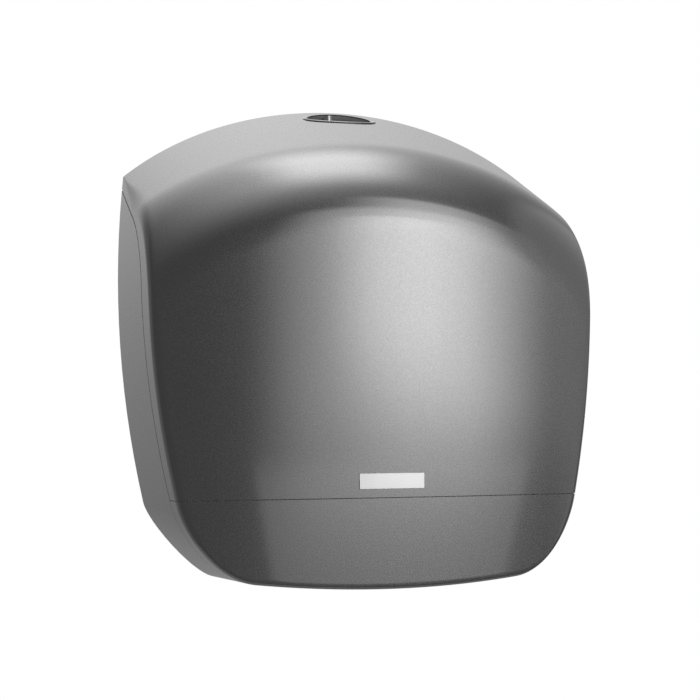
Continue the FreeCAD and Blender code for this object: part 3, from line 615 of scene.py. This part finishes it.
def chinRim(q):
    # The ball that rolls between the front and the casing's outline; it shrinks round the corner
    share = min(max(1 + casing["shrinkRun"] - q, 0.0) / casing["shrinkRun"], 1.0)
    radius = casing["footRimRadius"]
    radius += (casing["rimRadius"] - radius) * share * share * (3 - 2 * share)
    reach = casing["crownRadius"] - radius

    def look(y):
        out = ringNormal(q, y)
        centre = ringPoint(q, y) - out * radius
        return math.hypot(centre.x, centre.y - crownCentre) < reach, (out, centre)

    y, (out, centre) = halved(-casing["depth"] / 2, -casing["depth"] - radius, look)
    front = Vector((centre.x, centre.y - crownCentre, 0)).normalized()
    return y, centre, front, out, radius


def onCrown(x, z):
    y = crownCentre - math.sqrt(casing["crownRadius"] ** 2 - x ** 2)
    return Vector((x, y, z)), Vector((x, y - crownCentre, 0)).normalized()


def makeChin():
    top = casing["chinSeam"] - casing["seamGap"] / 2
    start = (casing["chinSeam"] - top) / (casing["chinSeam"] - casing["cornerTop"])
    stations = [start + (1 - start) * n / chinRows["side"] for n in range(chinRows["side"])]
    stations += [1 + n / chinRows["corner"] for n in range(chinRows["corner"])]
    stations += [2 + n / chinRows["bottom"] for n in range(chinRows["bottom"] + 1)]
    bands = []
    for q in stations:
        y, centre, front, out, radius = chinRim(q)
        level = ringPoint(q, y).z
        flat = max(1 - (top - level) / chinRows["flatRun"], 0) ** 2
        band = []
        for n in range(chinRows["arc"] + 1):
            normal = front.slerp(out, n / chinRows["arc"])
            point = centre + normal * radius
            drop = (level - point.z) * flat
            point.x += sideX(point.z + drop) - sideX(point.z)
            point.z += drop
            band.append((point, normal, flat))
        goal = y
        for step in range(chinRows["settle"]):  # the seam's depth and the height there fix each other
            goal = seamDepth(ringPoint(q, goal).z, casing["seamGap"])
        for n in range(1, chinRows["strip"] + 1):
            depth = y + (goal - y) * n / chinRows["strip"]
            band.append((ringPoint(q, depth), ringNormal(q, depth), flat))
        bands.append(band)
    for point, normal, flat in bands[-1]:
        point.x = 0.0
    skin = Skin()
    skin.grid(bands)
    skin.grid([[(mirrored(p), mirrored(n), f) for p, n, f in band] for band in bands])
    # The face between the rims, as a patch from the middle out to the right
    split = chinRows["side"] + chinRows["split"]
    rim = [band[0] for band in bands]
    across = len(rim) - 1 - split
    topRight, corner, bottom = rim[0][0], rim[split][0], rim[-1][0]
    rows = []
    for i in range(split + 1):
        v = i / split
        row = []
        for j in range(across + 1):
            u = j / across
            if i == split:
                row.append(rim[len(rim) - 1 - j])
                continue
            if j == across:
                row.append(rim[i])
                continue
            upper, lower = topRight * u, rim[len(rim) - 1 - j][0]
            upper.z = topRight.z
            left = Vector((0, 0, top + (bottom.z - top) * v))
            right = rim[i][0]
            middle = Vector((0, 0, top)) * ((1 - u) * (1 - v)) + topRight * (u * (1 - v))
            middle += bottom * ((1 - u) * v) + corner * (u * v)
            spot = upper * (1 - v) + lower * v + left * (1 - u) + right * u - middle
            point, normal = onCrown(spot.x if j else 0.0, spot.z)
            row.append((point, normal, 1.0 if i == 0 else 0.0))
        rows.append(row)
    skin.grid([fullRow(row) for row in rows])
    return skin.close("chin", casing["wall"])


# How near a point lies to the casing's surface, and the part of the roof round the lock
closeTo = {"side": 0.4, "foot": 1.2, "tries": 60, "sameWay": 0.9}
roofPatch = {"half": 50, "front": -32, "back": -1, "low": 385}


def ringGap(q, x, y, z):
    spot = ringPoint(q, y)
    return math.hypot(spot.x - x, spot.z - z)


def casingNormal(point):
    # Outward normal of the side or foot where the point lies on it
    z = point.z / mm + originHeight
    x, y = abs(point.x) / mm, point.y / mm
    if z >= casing["cornerTop"]:
        if z > casing["crest"] or abs(x - sideX(z)) > closeTo["side"]:
            return None
        normal = sideNormal(x, z)
    else:
        stations = [1 + n / closeTo["tries"] for n in range(2 * closeTo["tries"] + 1)]
        gap, q = min((ringGap(q, x, y, z), q) for q in stations)
        if gap > closeTo["foot"]:
            return None
        normal = ringNormal(q, y)
    return normal if point.x > 0 else mirrored(normal)


def besideLock(point):
    # The roof's normal round the lock's hole
    x, y = point.x / mm, point.y / mm
    beside = abs(x) <= roofPatch["half"] and roofPatch["front"] < y < roofPatch["back"]
    high = point.z / mm + originHeight >= roofPatch["low"]
    return roofAt(x, y)[1] if beside and high else None


def followSurface(mesh, normalAt):
    # Shades the mesh as the true surface that its faces stand for; 1 for each corner that lies on it
    known = [normalAt(vertex.co) for vertex in mesh.vertices]
    normals = []
    fitting = []
    for face in mesh.polygons:
        for corner in face.loop_indices:
            normal = known[mesh.loops[corner].vertex_index]
            fits = normal is not None and normal.dot(face.normal) > closeTo["sameWay"]
            normals.append(normal if fits else mesh.corner_normals[corner].vector.copy())
            fitting.append(float(fits))
    mesh.normals_split_custom_set(normals)
    return fitting


slotOf = {part["node"]: part["material_slot"] for part in frame["record"]["subparts"]}
bodyOf = {n: body for body, members in frame["record"]["behaviour"]["bodies"].items() for n in members}
lockSizes = {"depth": 14.5, "halfLong": 30.0, "halfWide": 9.5, "floor": 380.0, "holeSides": 72}
outletSizes = {"half": 72.0, "front": 117.0, "rim": 15.0}
skinEdge = 0.35  # bevel of the skins' edges
past = 10  # how far a cutter reaches past what it cuts

cover = applied(softEdges(makeCover(), skinEdge))
holeSpan = (lockSizes["halfLong"], lockSizes["halfWide"], -lockSizes["depth"], lockSizes["holeSides"])
carve(cover, prism("lockHole", ellipse(*holeSpan), lockSizes["floor"] - past, casing["crest"] + past))
onRoof = followSurface(smooth(cover).data, besideLock)
paintShare = cover.data.attributes["outside"].data  # the cut leaves it 0 round the hole
for corner, fits in zip(cover.data.loops, onRoof):
    if fits:
        paintShare[corner.vertex_index].value = 1.0
dress(cover, "cover", "cover", "cover_shell")
print("cover:", len(cover.data.polygons), "faces")

chin = makeChin()
outletCorners = ((-1, -1), (1, -1), (1, 0), (-1, 0))
outletOutline = [(x * outletSizes["half"], y * outletSizes["front"]) for x, y in outletCorners]
carve(chin, prism("outletCut", outletOutline, -past, outletSizes["rim"]))
smooth(applied(softEdges(chin, skinEdge)))
dress(chin, "cover", "cover", "chin_panel")
print("chin:", len(chin.data.polygons), "faces")


# Pieces that repeat or follow a path, grown by node trees


def newTree(name, sizes):
    # A node tree with a named input for each size
    tree = bpy.data.node_groups.new(name, "GeometryNodeTree")
    for way in ("INPUT", "OUTPUT"):
        tree.interface.new_socket("Geometry", in_out=way, socket_type="NodeSocketGeometry")
    for key in sizes:
        tree.interface.new_socket(key, in_out="INPUT", socket_type="NodeSocketFloat")
    source = tree.nodes.new("NodeGroupInput")
    return tree, [Sock(tree, socket) for socket in source.outputs if socket.name]


def grown(name, points, edges, axes, tree, shape, sizes, slot):
    # Ends the tree, sets its sizes by their identifiers and keeps the plain mesh that it makes
    realized = addNode(tree, "GeometryNodeRealizeInstances", {}, {"Geometry": shape})
    dressed = addNode(tree, "GeometryNodeSetMaterial", {}, {"Geometry": realized, "Material": finish[slot]})
    tree.links.new(dressed.socket, tree.nodes.new("NodeGroupOutput").inputs[0])
    mesh = bpy.data.meshes.new(name)
    mesh.from_pydata([inFrame(Vector(point)) for point in points], edges, [])
    axisData = mesh.attributes.new("axis", "FLOAT_VECTOR", "POINT")
    for item, axis in zip(axisData.data, axes):
        item.vector = axis
    piece = addPiece(name, mesh)
    modifier = piece.modifiers.new("grow", "NODES")
    modifier.node_group = tree
    for item in tree.interface.items_tree:
        if item.in_out == "INPUT" and item.name in sizes:
            modifier[item.identifier] = sizes[item.name] * mm
    return applied(piece)


def vector(x, y, z):
    tree = next(value.tree for value in (x, y, z) if isinstance(value, Sock))
    return addNode(tree, "ShaderNodeCombineXYZ", {}, {"X": x, "Y": y, "Z": z})


def moved(shape, sockets):
    return addNode(shape.tree, "GeometryNodeTransform", {}, {"Geometry": shape} | sockets)


def joined(shapes, kind="GeometryNodeJoinGeometry", slot=0, **settings):
    node = addNode(shapes[0].tree, kind, settings, {})
    for shape in shapes:
        shape.tree.links.new(shape.socket, node.socket.node.inputs[slot])
    return node


def united(shapes):
    return joined(shapes, "GeometryNodeMeshBoolean", "Mesh 2", operation="UNION")


def cutBy(shape, cutter):
    sockets = {"Mesh 1": shape, "Mesh 2": cutter}
    return addNode(shape.tree, "GeometryNodeMeshBoolean", {"operation": "DIFFERENCE"}, sockets)


def circle(tree, radius, count):
    return addNode(tree, "GeometryNodeCurvePrimitiveCircle", {}, {"Resolution": count, "Radius": radius})


def helix(tree, radius, rounds, height, count):
    sockets = {"Resolution": count, "Rotations": rounds, "Start Radius": radius, "End Radius": radius,
               "Height": height}
    return addNode(tree, "GeometryNodeCurveSpiral", {}, sockets)


def drawn(path, profile):
    sockets = {"Curve": path, "Profile Curve": profile, "Fill Caps": True}
    return addNode(path.tree, "GeometryNodeCurveToMesh", {}, sockets)


def rod(tree, radius, length, middle, sides=32):
    sockets = {"Vertices": sides, "Radius": radius, "Depth": length}
    shape = addNode(tree, "GeometryNodeMeshCylinder", {}, sockets)
    return moved(shape, {"Translation": vector(0.0, 0.0, middle)})


def placed(source, shape):
    # Sets the shape at every point, its own Z along the point's axis
    tree = source.tree
    axis = addNode(tree, "GeometryNodeInputNamedAttribute", {"data_type": "FLOAT_VECTOR"}, {"Name": "axis"})
    turn = addNode(tree, "FunctionNodeAlignRotationToVector", {"axis": "Z"}, {"Vector": axis})
    sockets = {"Points": source, "Instance": shape, "Rotation": turn}
    return addNode(tree, "GeometryNodeInstanceOnPoints", {}, sockets)


def bothSides(spots, axis):
    # Each spot with its axis, then the same for the left side
    right = [(spot, axis) for spot in spots]
    return right + [((-x, y, z), (-axis[0], axis[1], axis[2])) for x, y, z in spots]


# Slotted pan heads with a thread; the shares are of the head's height, its radius and the shank
screwSizes = {
    "headRadius": 3.0, "headHeight": 1.8, "shankRadius": 1.25, "slotWidth": 0.8, "slotDepth": 0.9,
    "pitch": 0.9, "threadRadius": 0.34,
}
screwShares = {
    "rim": 0.55, "dome": 0.45, "domeTop": 0.78, "slotLength": 3.0, "thread": 0.86, "threadStart": 0.07,
}

# For each group the undersides of the heads and the way the shanks go
toRight, toBack, toFront, toTop = (1, 0, 0), (0, 1, 0), (0, -1, 0), (0, 0, 1)
screwPlaces = {
    "flange_screws": {"length": 6.4, "places": bothSides([(26.16, -7, 229.16), (26.16, -7, 176.84)], toBack)},
    "chin_screws": {"length": 8.0, "places": bothSides([(138, -110.88, 84), (48, -121.1, 84)], toFront)},
    "hinge_arm_screws": {"length": 8.0, "places": bothSides([(86, -113.5, 30), (100, -113.5, 30)], toFront)},
    "keeper_screws": {"length": 4.4, "places": [((21.3, -5, 357), toBack), ((28.2, -5, 357), toBack)]},
    "lock_screws": {"length": 8.0, "places": bothSides([(38, -14.5, 378)], toTop)},
    "tear_bar_screws": {"length": 8.0, "places": bothSides([(70.8, -34, 10.5), (70.8, -82, 10.5)], toRight)},
}


def makeScrews(name, length, places):
    sizes = screwSizes | {"length": length}
    share = screwShares
    tree, (source, headRadius, headHeight, shankRadius, width, depth, pitch, thread, shank) = newTree(
        name + "Tree", sizes)
    rim = rod(tree, headRadius, headHeight * share["rim"], headHeight * (share["rim"] / -2))
    dome = addNode(tree, "GeometryNodeMeshCone", {}, {
        "Vertices": 32, "Radius Bottom": headRadius, "Radius Top": headRadius * share["domeTop"],
        "Depth": headHeight * share["dome"]})
    dome = moved(dome, {
        "Translation": vector(0.0, 0.0, headHeight * -share["rim"]), "Rotation": (math.pi, 0, 0)})
    slot = addNode(tree, "GeometryNodeMeshCube", {}, {
        "Size": vector(headRadius * share["slotLength"], width, depth * 2.0)})
    slot = moved(slot, {"Translation": vector(0.0, 0.0, headHeight * -1.0)})
    stem = rod(tree, shankRadius, shank, shank * 0.5, 24)
    run = shank * share["thread"]
    spiral = helix(tree, shankRadius, mathNode("DIVIDE", run, pitch), run, 16)
    ridge = moved(drawn(spiral, circle(tree, thread, 4)), {
        "Translation": vector(0.0, 0.0, shank * share["threadStart"])})
    screw = joined([cutBy(united([rim, dome, stem]), slot), ridge])
    points, axes = zip(*places)
    piece = grown(name + "Piece", points, [], axes, tree, placed(source, screw), sizes, "steel")
    dress(smooth(piece, 28), bodyOf[name], "steel", name)


for name, group in screwPlaces.items():
    makeScrews(name, **group)
print("screws done")


def swept(source, profile, normal):
    # The profile drawn along the source's edges, its own X along the normal
    path = addNode(source.tree, "GeometryNodeMeshToCurve", {}, {"Mesh": source})
    sockets = {"Curve": path, "Normal": normal}
    return drawn(addNode(source.tree, "GeometryNodeSetCurveNormal", {"mode": "FREE"}, sockets), profile)


def bar(tree, width, height, offset=(0, 0, 0)):
    sockets = {"Width": width, "Height": height}
    shape = addNode(tree, "GeometryNodeCurvePrimitiveQuadrilateral", {}, sockets)
    return moved(shape, {"Translation": offset})


def chain(count, closed=False):
    return [(n, (n + 1) % count) for n in range(count if closed else count - 1)]


def insidePoint(x, v, low, depth):
    # A point behind the cover's outer face, over x
    def look(t):
        point, normal = facePoint(v, t, low)
        return point.x < abs(x), (point, normal)

    point, normal = halved(middleShare, farShare, look)[1]
    spot = point - normal * depth
    return Vector((math.copysign(spot.x, x), spot.y, spot.z))


def makeRibs():
    # Upright ribs behind the cover's bend and front
    sizes = {"thickness": 1.8, "height": 4.4}
    run = {"across": (-104, -35, 35, 104), "sunk": 4.3, "low": 110, "high": 334, "back": -66, "steps": 40}
    tree, (source, thickness, height) = newTree("ribTree", sizes)
    shape = swept(source, bar(tree, thickness, height), toRight)
    points, edges = [], []
    for x in run["across"]:
        line = [insidePoint(x, 1 + 2 * n / run["steps"], casing["chinSeam"], run["sunk"])
                for n in range(run["steps"] + 1)]
        line = [point for point in line if run["low"] < point.z < run["high"] and point.y < run["back"]]
        edges += [(a + len(points), b + len(points)) for a, b in chain(len(line))]
        points += line
    piece = grown("coverRibs", points, edges, [], tree, shape, sizes, "cover")
    dress(smooth(piece), "cover", "cover")


def makeSeamLip():
    # Tongue within the walls, behind the seam between cover and chin
    sizes = {"thickness": 1.3, "height": 9.0}
    run = {"under": 1.1, "frontSteps": 40, "cornerSteps": 8, "endGap": 1.5}
    tree, (source, thickness, height) = newTree("lipTree", sizes)
    shape = swept(source, bar(tree, height, thickness), toTop)
    behind = run["under"] + sizes["thickness"] / 2
    y, centre, front, out, radius = chinRim(0.0)
    edge = (centre + front * radius).x
    half = []
    for n in range(run["frontSteps"] + 1):
        point, normal = onCrown(edge * n / run["frontSteps"], casing["chinSeam"])
        half.append(point - normal * behind)
    for n in range(run["cornerSteps"]):
        half.append(centre + front.slerp(out, (n + 1) / run["cornerSteps"]) * (radius - behind))
    half.append(Vector((half[-1].x, seamDepth(casing["chinSeam"], run["endGap"]), half[-1].z)))
    points = [mirrored(point) for point in half[:0:-1]] + half
    piece = grown("seamLip", points, chain(len(points)), [], tree, shape, sizes, "cover")
    dress(smooth(piece), "cover", "cover")


# For each group the foot of the bosses and the way they stand
bossPlaces = {
    "chinBosses": {"length": 6.4, "places": bothSides([(138, -112.6, 84), (48, -122.8, 84)], toFront)},
    "footBosses": {"length": 9.5, "places": bothSides([(86, -116, 30), (100, -116, 30)], toFront)},
    "lockBosses": {"length": 7.6, "places": bothSides([(38, -14.5, 380)], toTop)},
}


def makeBosses(name, length, places):
    # Round bosses with a bore for the screw; the bore's shares are of the boss's length
    sizes = {"radius": 3.6, "bore": 1.3, "length": length}
    share = {"bore": 1.6, "boreMiddle": 0.4}
    tree, (source, outer, bore, run) = newTree(name + "Tree", sizes)
    hole = rod(tree, bore, run * share["bore"], run * share["boreMiddle"], 20)
    shape = cutBy(rod(tree, outer, run, run * 0.5), hole)
    points, axes = zip(*places)
    piece = grown(name, points, [], axes, tree, placed(source, shape), sizes, "cover")
    dress(smooth(piece), "cover", "cover")


def makePlate():
    # The bare name plate, bowed with the front
    plate = {"half": 27.5, "low": 79.0, "high": 91.4, "proud": 0.8, "sunk": 0.4, "columns": 28,
             "edge": 0.28}
    points, faces = [], []
    for n in range(plate["columns"] + 1):
        x = plate["half"] * (2 * n / plate["columns"] - 1)
        front = onCrown(x, 0)[0].y
        for depth, z in ((-plate["proud"], plate["low"]), (-plate["proud"], plate["high"]),
                         (plate["sunk"], plate["high"]), (plate["sunk"], plate["low"])):
            points.append(inFrame(Vector((x, front + depth, z))))
    for n in range(plate["columns"]):
        for k in range(4):
            a, b = 4 * n + k, 4 * n + (k + 1) % 4
            faces.append([a, a + 4, b + 4, b])
    last = 4 * plate["columns"]
    faces += [[0, 1, 2, 3], [last + 3, last + 2, last + 1, last]]
    mesh = bpy.data.meshes.new("plate")
    mesh.from_pydata(points, [], faces)
    piece = applied(softEdges(addPiece("plate", mesh), plate["edge"]))
    dress(smooth(piece), "cover", "plate", "name_plate")


def makeTabs():
    # The chin's screw tabs, each an upright standing on a root on the chin's inner face
    tabs = {"half": 8.0, "thick": 2.0, "foot": 58.0, "low": 61.0, "root": 67.5, "high": 92.0, "sunk": 0.8,
            "edge": 0.5, "places": ((-138, -110.88), (-48, -121.1), (48, -121.1), (138, -110.88))}
    points, faces = [], []
    for x, y in tabs["places"]:
        for side in (-1, 1):
            edge = x + side * tabs["half"]
            wallY = onCrown(edge, 0)[0].y + casing["wall"] - tabs["sunk"]
            outline = [(y, tabs["low"]), (y, tabs["high"]), (y - tabs["thick"], tabs["high"]),
                       (y - tabs["thick"], tabs["root"]), (wallY, tabs["root"]), (wallY, tabs["foot"])]
            points += [inFrame(Vector((edge, across, z))) for across, z in outline]
        count = len(outline)
        start = len(points) - 2 * count
        faces.append([start + n for n in range(count)])
        faces.append([start + count + n for n in reversed(range(count))])
        for n in range(count):
            after = (n + 1) % count
            faces.append([start + after, start + n, start + count + n, start + count + after])
    mesh = bpy.data.meshes.new("chinTabs")
    mesh.from_pydata(points, [], faces)
    piece = softEdges(addPiece("chinTabs", mesh), tabs["edge"])
    dress(smooth(applied(piece)), "cover", "cover")


def makeLatchSpring():
    # Pushes the latch back over its keeper
    sizes = {"radius": 2.4, "wire": 0.35, "length": 3.6}
    tree, (source, radius, wire, length) = newTree("springTree", sizes)
    foot, rounds = (29.7, -26, 368), 4.0
    shape = placed(source, drawn(helix(tree, radius, rounds, length, 40), circle(tree, wire, 12)))
    piece = grown("latchCoil", [foot], [], [toRight], tree, shape, sizes, "steel")
    dress(smooth(piece, 40), bodyOf["latch_spring"], "steel", "latch_spring")


def makeTearBar(name, side):
    # A blade with its row of teeth along the lower edge
    sizes = {"thickness": 1.2, "run": 64.0, "height": 7.9, "toothHeight": 2.5, "pitch": 4.0}
    teeth = {"count": 16, "thin": 0.99, "flat": 0.72, "sunkShare": 0.33}
    middle = (side * 71.4, -58, 10.05)
    tree, (source, thickness, run, height, toothHeight, pitch) = newTree(name + "Tree", sizes)
    blade = addNode(tree, "GeometryNodeMeshCube", {}, {"Size": vector(thickness, run, height)})
    tooth = addNode(tree, "GeometryNodeMeshCylinder", {}, {
        "Vertices": 3, "Radius": mathNode("DIVIDE", pitch, math.sqrt(3.0)), "Depth": thickness})
    tooth = moved(tooth, {"Rotation": (0.0, math.pi / 2, 0.0)})
    tooth = moved(tooth, {"Scale": (1.0, teeth["thin"], teeth["flat"])})
    level = height * -0.5 - toothHeight * teeth["sunkShare"]
    row = addNode(tree, "GeometryNodeMeshLine", {}, {
        "Count": teeth["count"], "Start Location": vector(0.0, pitch * ((1 - teeth["count"]) / 2), level),
        "Offset": vector(0.0, pitch, 0.0)})
    row = addNode(tree, "GeometryNodeInstanceOnPoints", {}, {"Points": row, "Instance": tooth})
    shape = placed(source, joined([blade, row]))
    piece = grown(name + "Piece", [middle], [], [toTop], tree, shape, sizes, slotOf[name])
    dress(smooth(piece), bodyOf[name], slotOf[name], name)


def makeBezel():
    # A rounded lip round the hole in the roof, and the sleeve below it
    sizes = {"lipHalf": 2.6, "lipRise": 1.1, "lipSunk": 0.55, "sleeveWall": 1.5, "sleeveDrop": 4.2}
    bezel = {"outset": 0.7, "sleeveShare": 0.8, "sides": 96}
    tree, (source, lipHalf, lipRise, sunk, wall, drop) = newTree("bezelTree", sizes)
    lip = moved(circle(tree, 1.0, 20), {
        "Scale": vector(lipRise, lipHalf, 1.0), "Translation": vector(sunk * -1.0, 0.0, 0.0)})
    sleeve = bar(tree, drop, wall, vector(drop * -0.5 - sunk, wall * bezel["sleeveShare"] - lipHalf, 0.0))
    marked = {"Geometry": swept(source, lip, toTop), "Name": "outside", "Value": 1.0}
    lip = addNode(tree, "GeometryNodeStoreNamedAttribute", {"data_type": "FLOAT", "domain": "POINT"}, marked)
    shape = joined([lip, swept(source, sleeve, toTop)])
    long, wide = lockSizes["halfLong"] + bezel["outset"], lockSizes["halfWide"] + bezel["outset"]
    ring = ellipse(long, wide, -lockSizes["depth"], bezel["sides"])
    points = [(x, y, roofAt(x, y)[0].z) for x, y in ring]
    piece = grown("bezel", points, chain(len(points), True), [], tree, shape, sizes, "bezel")
    dress(smooth(piece, 40), "cover", "bezel", "lock_bezel")


makeRibs()
makeSeamLip()
makeTabs()
makePlate()
for name, group in bossPlaces.items():
    makeBosses(name, **group)
makeLatchSpring()
makeTearBar("tear_bar_left", -1)
makeTearBar("tear_bar_right", 1)
makeBezel()
print("ribs, bosses, spring, tear bars and bezel done")


nodeCopy = {"merge": 0.002, "edge": 0.2}  # what counts as one point, and the bevel


def tidyNode(name):
    # A merged, smooth-shaded copy of a CAD node stands for it
    mesh = nodes[name].data.copy()
    mesh.name = name + "Mesh"
    bm = bmesh.new()
    bm.from_mesh(mesh)
    bmesh.ops.remove_doubles(bm, verts=bm.verts, dist=nodeCopy["merge"] * mm)
    bm.to_mesh(mesh)
    bm.free()
    if "custom_normal" in mesh.attributes:
        mesh.attributes.remove(mesh.attributes["custom_normal"])
    piece = addPiece(name + "Piece", mesh)
    if name == "rear_housing":
        markOutside(mesh, followSurface(smooth(piece).data, casingNormal), "CORNER")
    else:
        smooth(applied(softEdges(piece, nodeCopy["edge"])))
    dress(piece, bodyOf[name], slotOf[name], name)


remade = ("cover_shell", "chin_panel", "lock_bezel", "latch_spring", "tear_bar_left", "tear_bar_right",
          "name_plate")
for name in nodes:
    if name not in remade and not name.endswith("_screws"):
        tidyNode(name)
print("inner pieces done")


# Studio

studio = {
    "floorDrop": 0.75, "floorRadius": 1.2, "floorSides": 96, "floorTone": 0.30, "floorGlow": 0.42,
    "camera": (-0.5519, -1.5870, -0.0921), "yaw": 0.34189, "pitch": -0.05031, "roll": -0.01126,
    "focal": 1962.7, "frameWidth": 700, "sensor": 36.0,
}

# Each softbox: middle, half and soft edge across the room (as a share of 1), the same three round
# it in degrees (0 in front, 90 overhead), its level, and for one how fast it widens upward
room = {
    "front": 0.148, "back": 0.245, "backFrom": -0.23, "backTo": 0.37, "fill": 0.55,
    "softboxes": {
        "frontLow": {"across": (0.358, 0.264, 0.107), "round": (15.6, 16.6, 3.6), "level": 0.774},
        "frontTall": {"across": (0.481, 0.173, 0.144), "round": (22.4, 22.2, 2.4), "level": 1.181},
        "frontFoot": {"across": (0.378, 0.135, 0.091), "round": (12.5, 9.9, 1.8), "level": 0.847},
        "top": {"across": (0.192, 0.194, 0.115), "round": (90.2, 20.9, 14.9), "level": 1.411},
        "topWide": {"across": (0.055, 0.402, 0.375), "round": (110.7, 55.4, 26.6), "level": 0.97},
        "foot": {"across": (0.345, 0.333, 0.014), "round": (-3.4, 2.9, 0.5), "level": 0.36, "taper": 0.014},
        "side": {"across": (0.941, 0.204, 0.039), "round": (61.5, 80.0, 2.1), "level": 0.253},
    },
}


def makeFloor():
    radius, count = studio["floorRadius"], studio["floorSides"]
    z = cadLow.z - studio["floorDrop"]
    ring = [(x, y, z) for x, y in ellipse(radius, radius, 0.0, count)]
    mesh = bpy.data.meshes.new("floor")
    mesh.from_pydata(ring, [], [list(range(count))])
    floor = addPiece("floor", mesh)
    material, shader, where = newMaterial("paleFloor")
    path = addNode(where.tree, "ShaderNodeLightPath", {}, {})
    tone = studio["floorTone"]
    setShader(shader, where, {
        "Base Color": mixColour(noise(where, 3.0), grey(tone * 0.98), grey(tone * 1.02)),
        "Roughness": 0.9,
        "Emission Color": mixColour(path.out("Is Camera Ray"), grey(0.0), grey(studio["floorGlow"])),
        "Emission Strength": 1.0,
    })
    floor.data.materials.append(material)


def softWindow(value, middle, half, soft):
    away = mathNode("ABSOLUTE", value - middle)
    return ramp(away, half - soft, half + soft, 1.0, 0.0)


def makeWorld():
    world = bpy.data.worlds.new("studio")
    scene.world = world
    world.use_nodes = True
    tree = world.node_tree
    toward = addNode(tree, "ShaderNodeTexCoord", {}, {}).out("Generated")
    parts = addNode(tree, "ShaderNodeSeparateXYZ", {}, {"Vector": toward})
    turn = mathNode("ARCTAN2", parts.out("Z"), parts.out("Y") * -1.0) * math.degrees(1)
    around = mathNode("WRAP", turn, 270.0, -90.0)
    level = ramp(parts.out("Y"), room["backFrom"], room["backTo"], room["front"], room["back"])
    for box in room["softboxes"].values():
        middle, half, soft = box["across"]
        if "taper" in box:
            half = around * box["taper"] + half
        shape = softWindow(parts.out("X"), middle, half, soft) * softWindow(around, *box["round"])
        level = level + shape * box["level"]
    path = addNode(tree, "ShaderNodeLightPath", {}, {})
    level = level + path.out("Is Diffuse Ray") * room["fill"]
    seen = path.out("Is Camera Ray")
    backdrop = tree.nodes["Background"]
    feed(tree, backdrop.inputs["Color"], grey(1.0))
    feed(tree, backdrop.inputs["Strength"], level + seen * (1 - level))


def makeCamera():
    data = bpy.data.cameras.new("camera")
    data.sensor_width = studio["sensor"]
    data.lens = studio["sensor"] * studio["focal"] / studio["frameWidth"]
    camera = bpy.data.objects.new("camera", data)
    scene.collection.objects.link(camera)
    yaw, pitch, roll = studio["yaw"], studio["pitch"], studio["roll"]
    forward = Vector((math.sin(yaw) * math.cos(pitch), math.cos(yaw) * math.cos(pitch), -math.sin(pitch)))
    right = Vector((math.cos(yaw), -math.sin(yaw), 0))
    up = right.cross(forward)
    turnedRight = right * math.cos(roll) + up * math.sin(roll)
    turnedUp = up * math.cos(roll) - right * math.sin(roll)
    turn = Matrix((turnedRight, turnedUp, -forward)).transposed().to_4x4()
    camera.matrix_world = Matrix.Translation(studio["camera"]) @ turn
    scene.camera = camera


makeFloor()
makeWorld()
makeCamera()
scene.view_settings.view_transform = "Standard"
print("studio set")
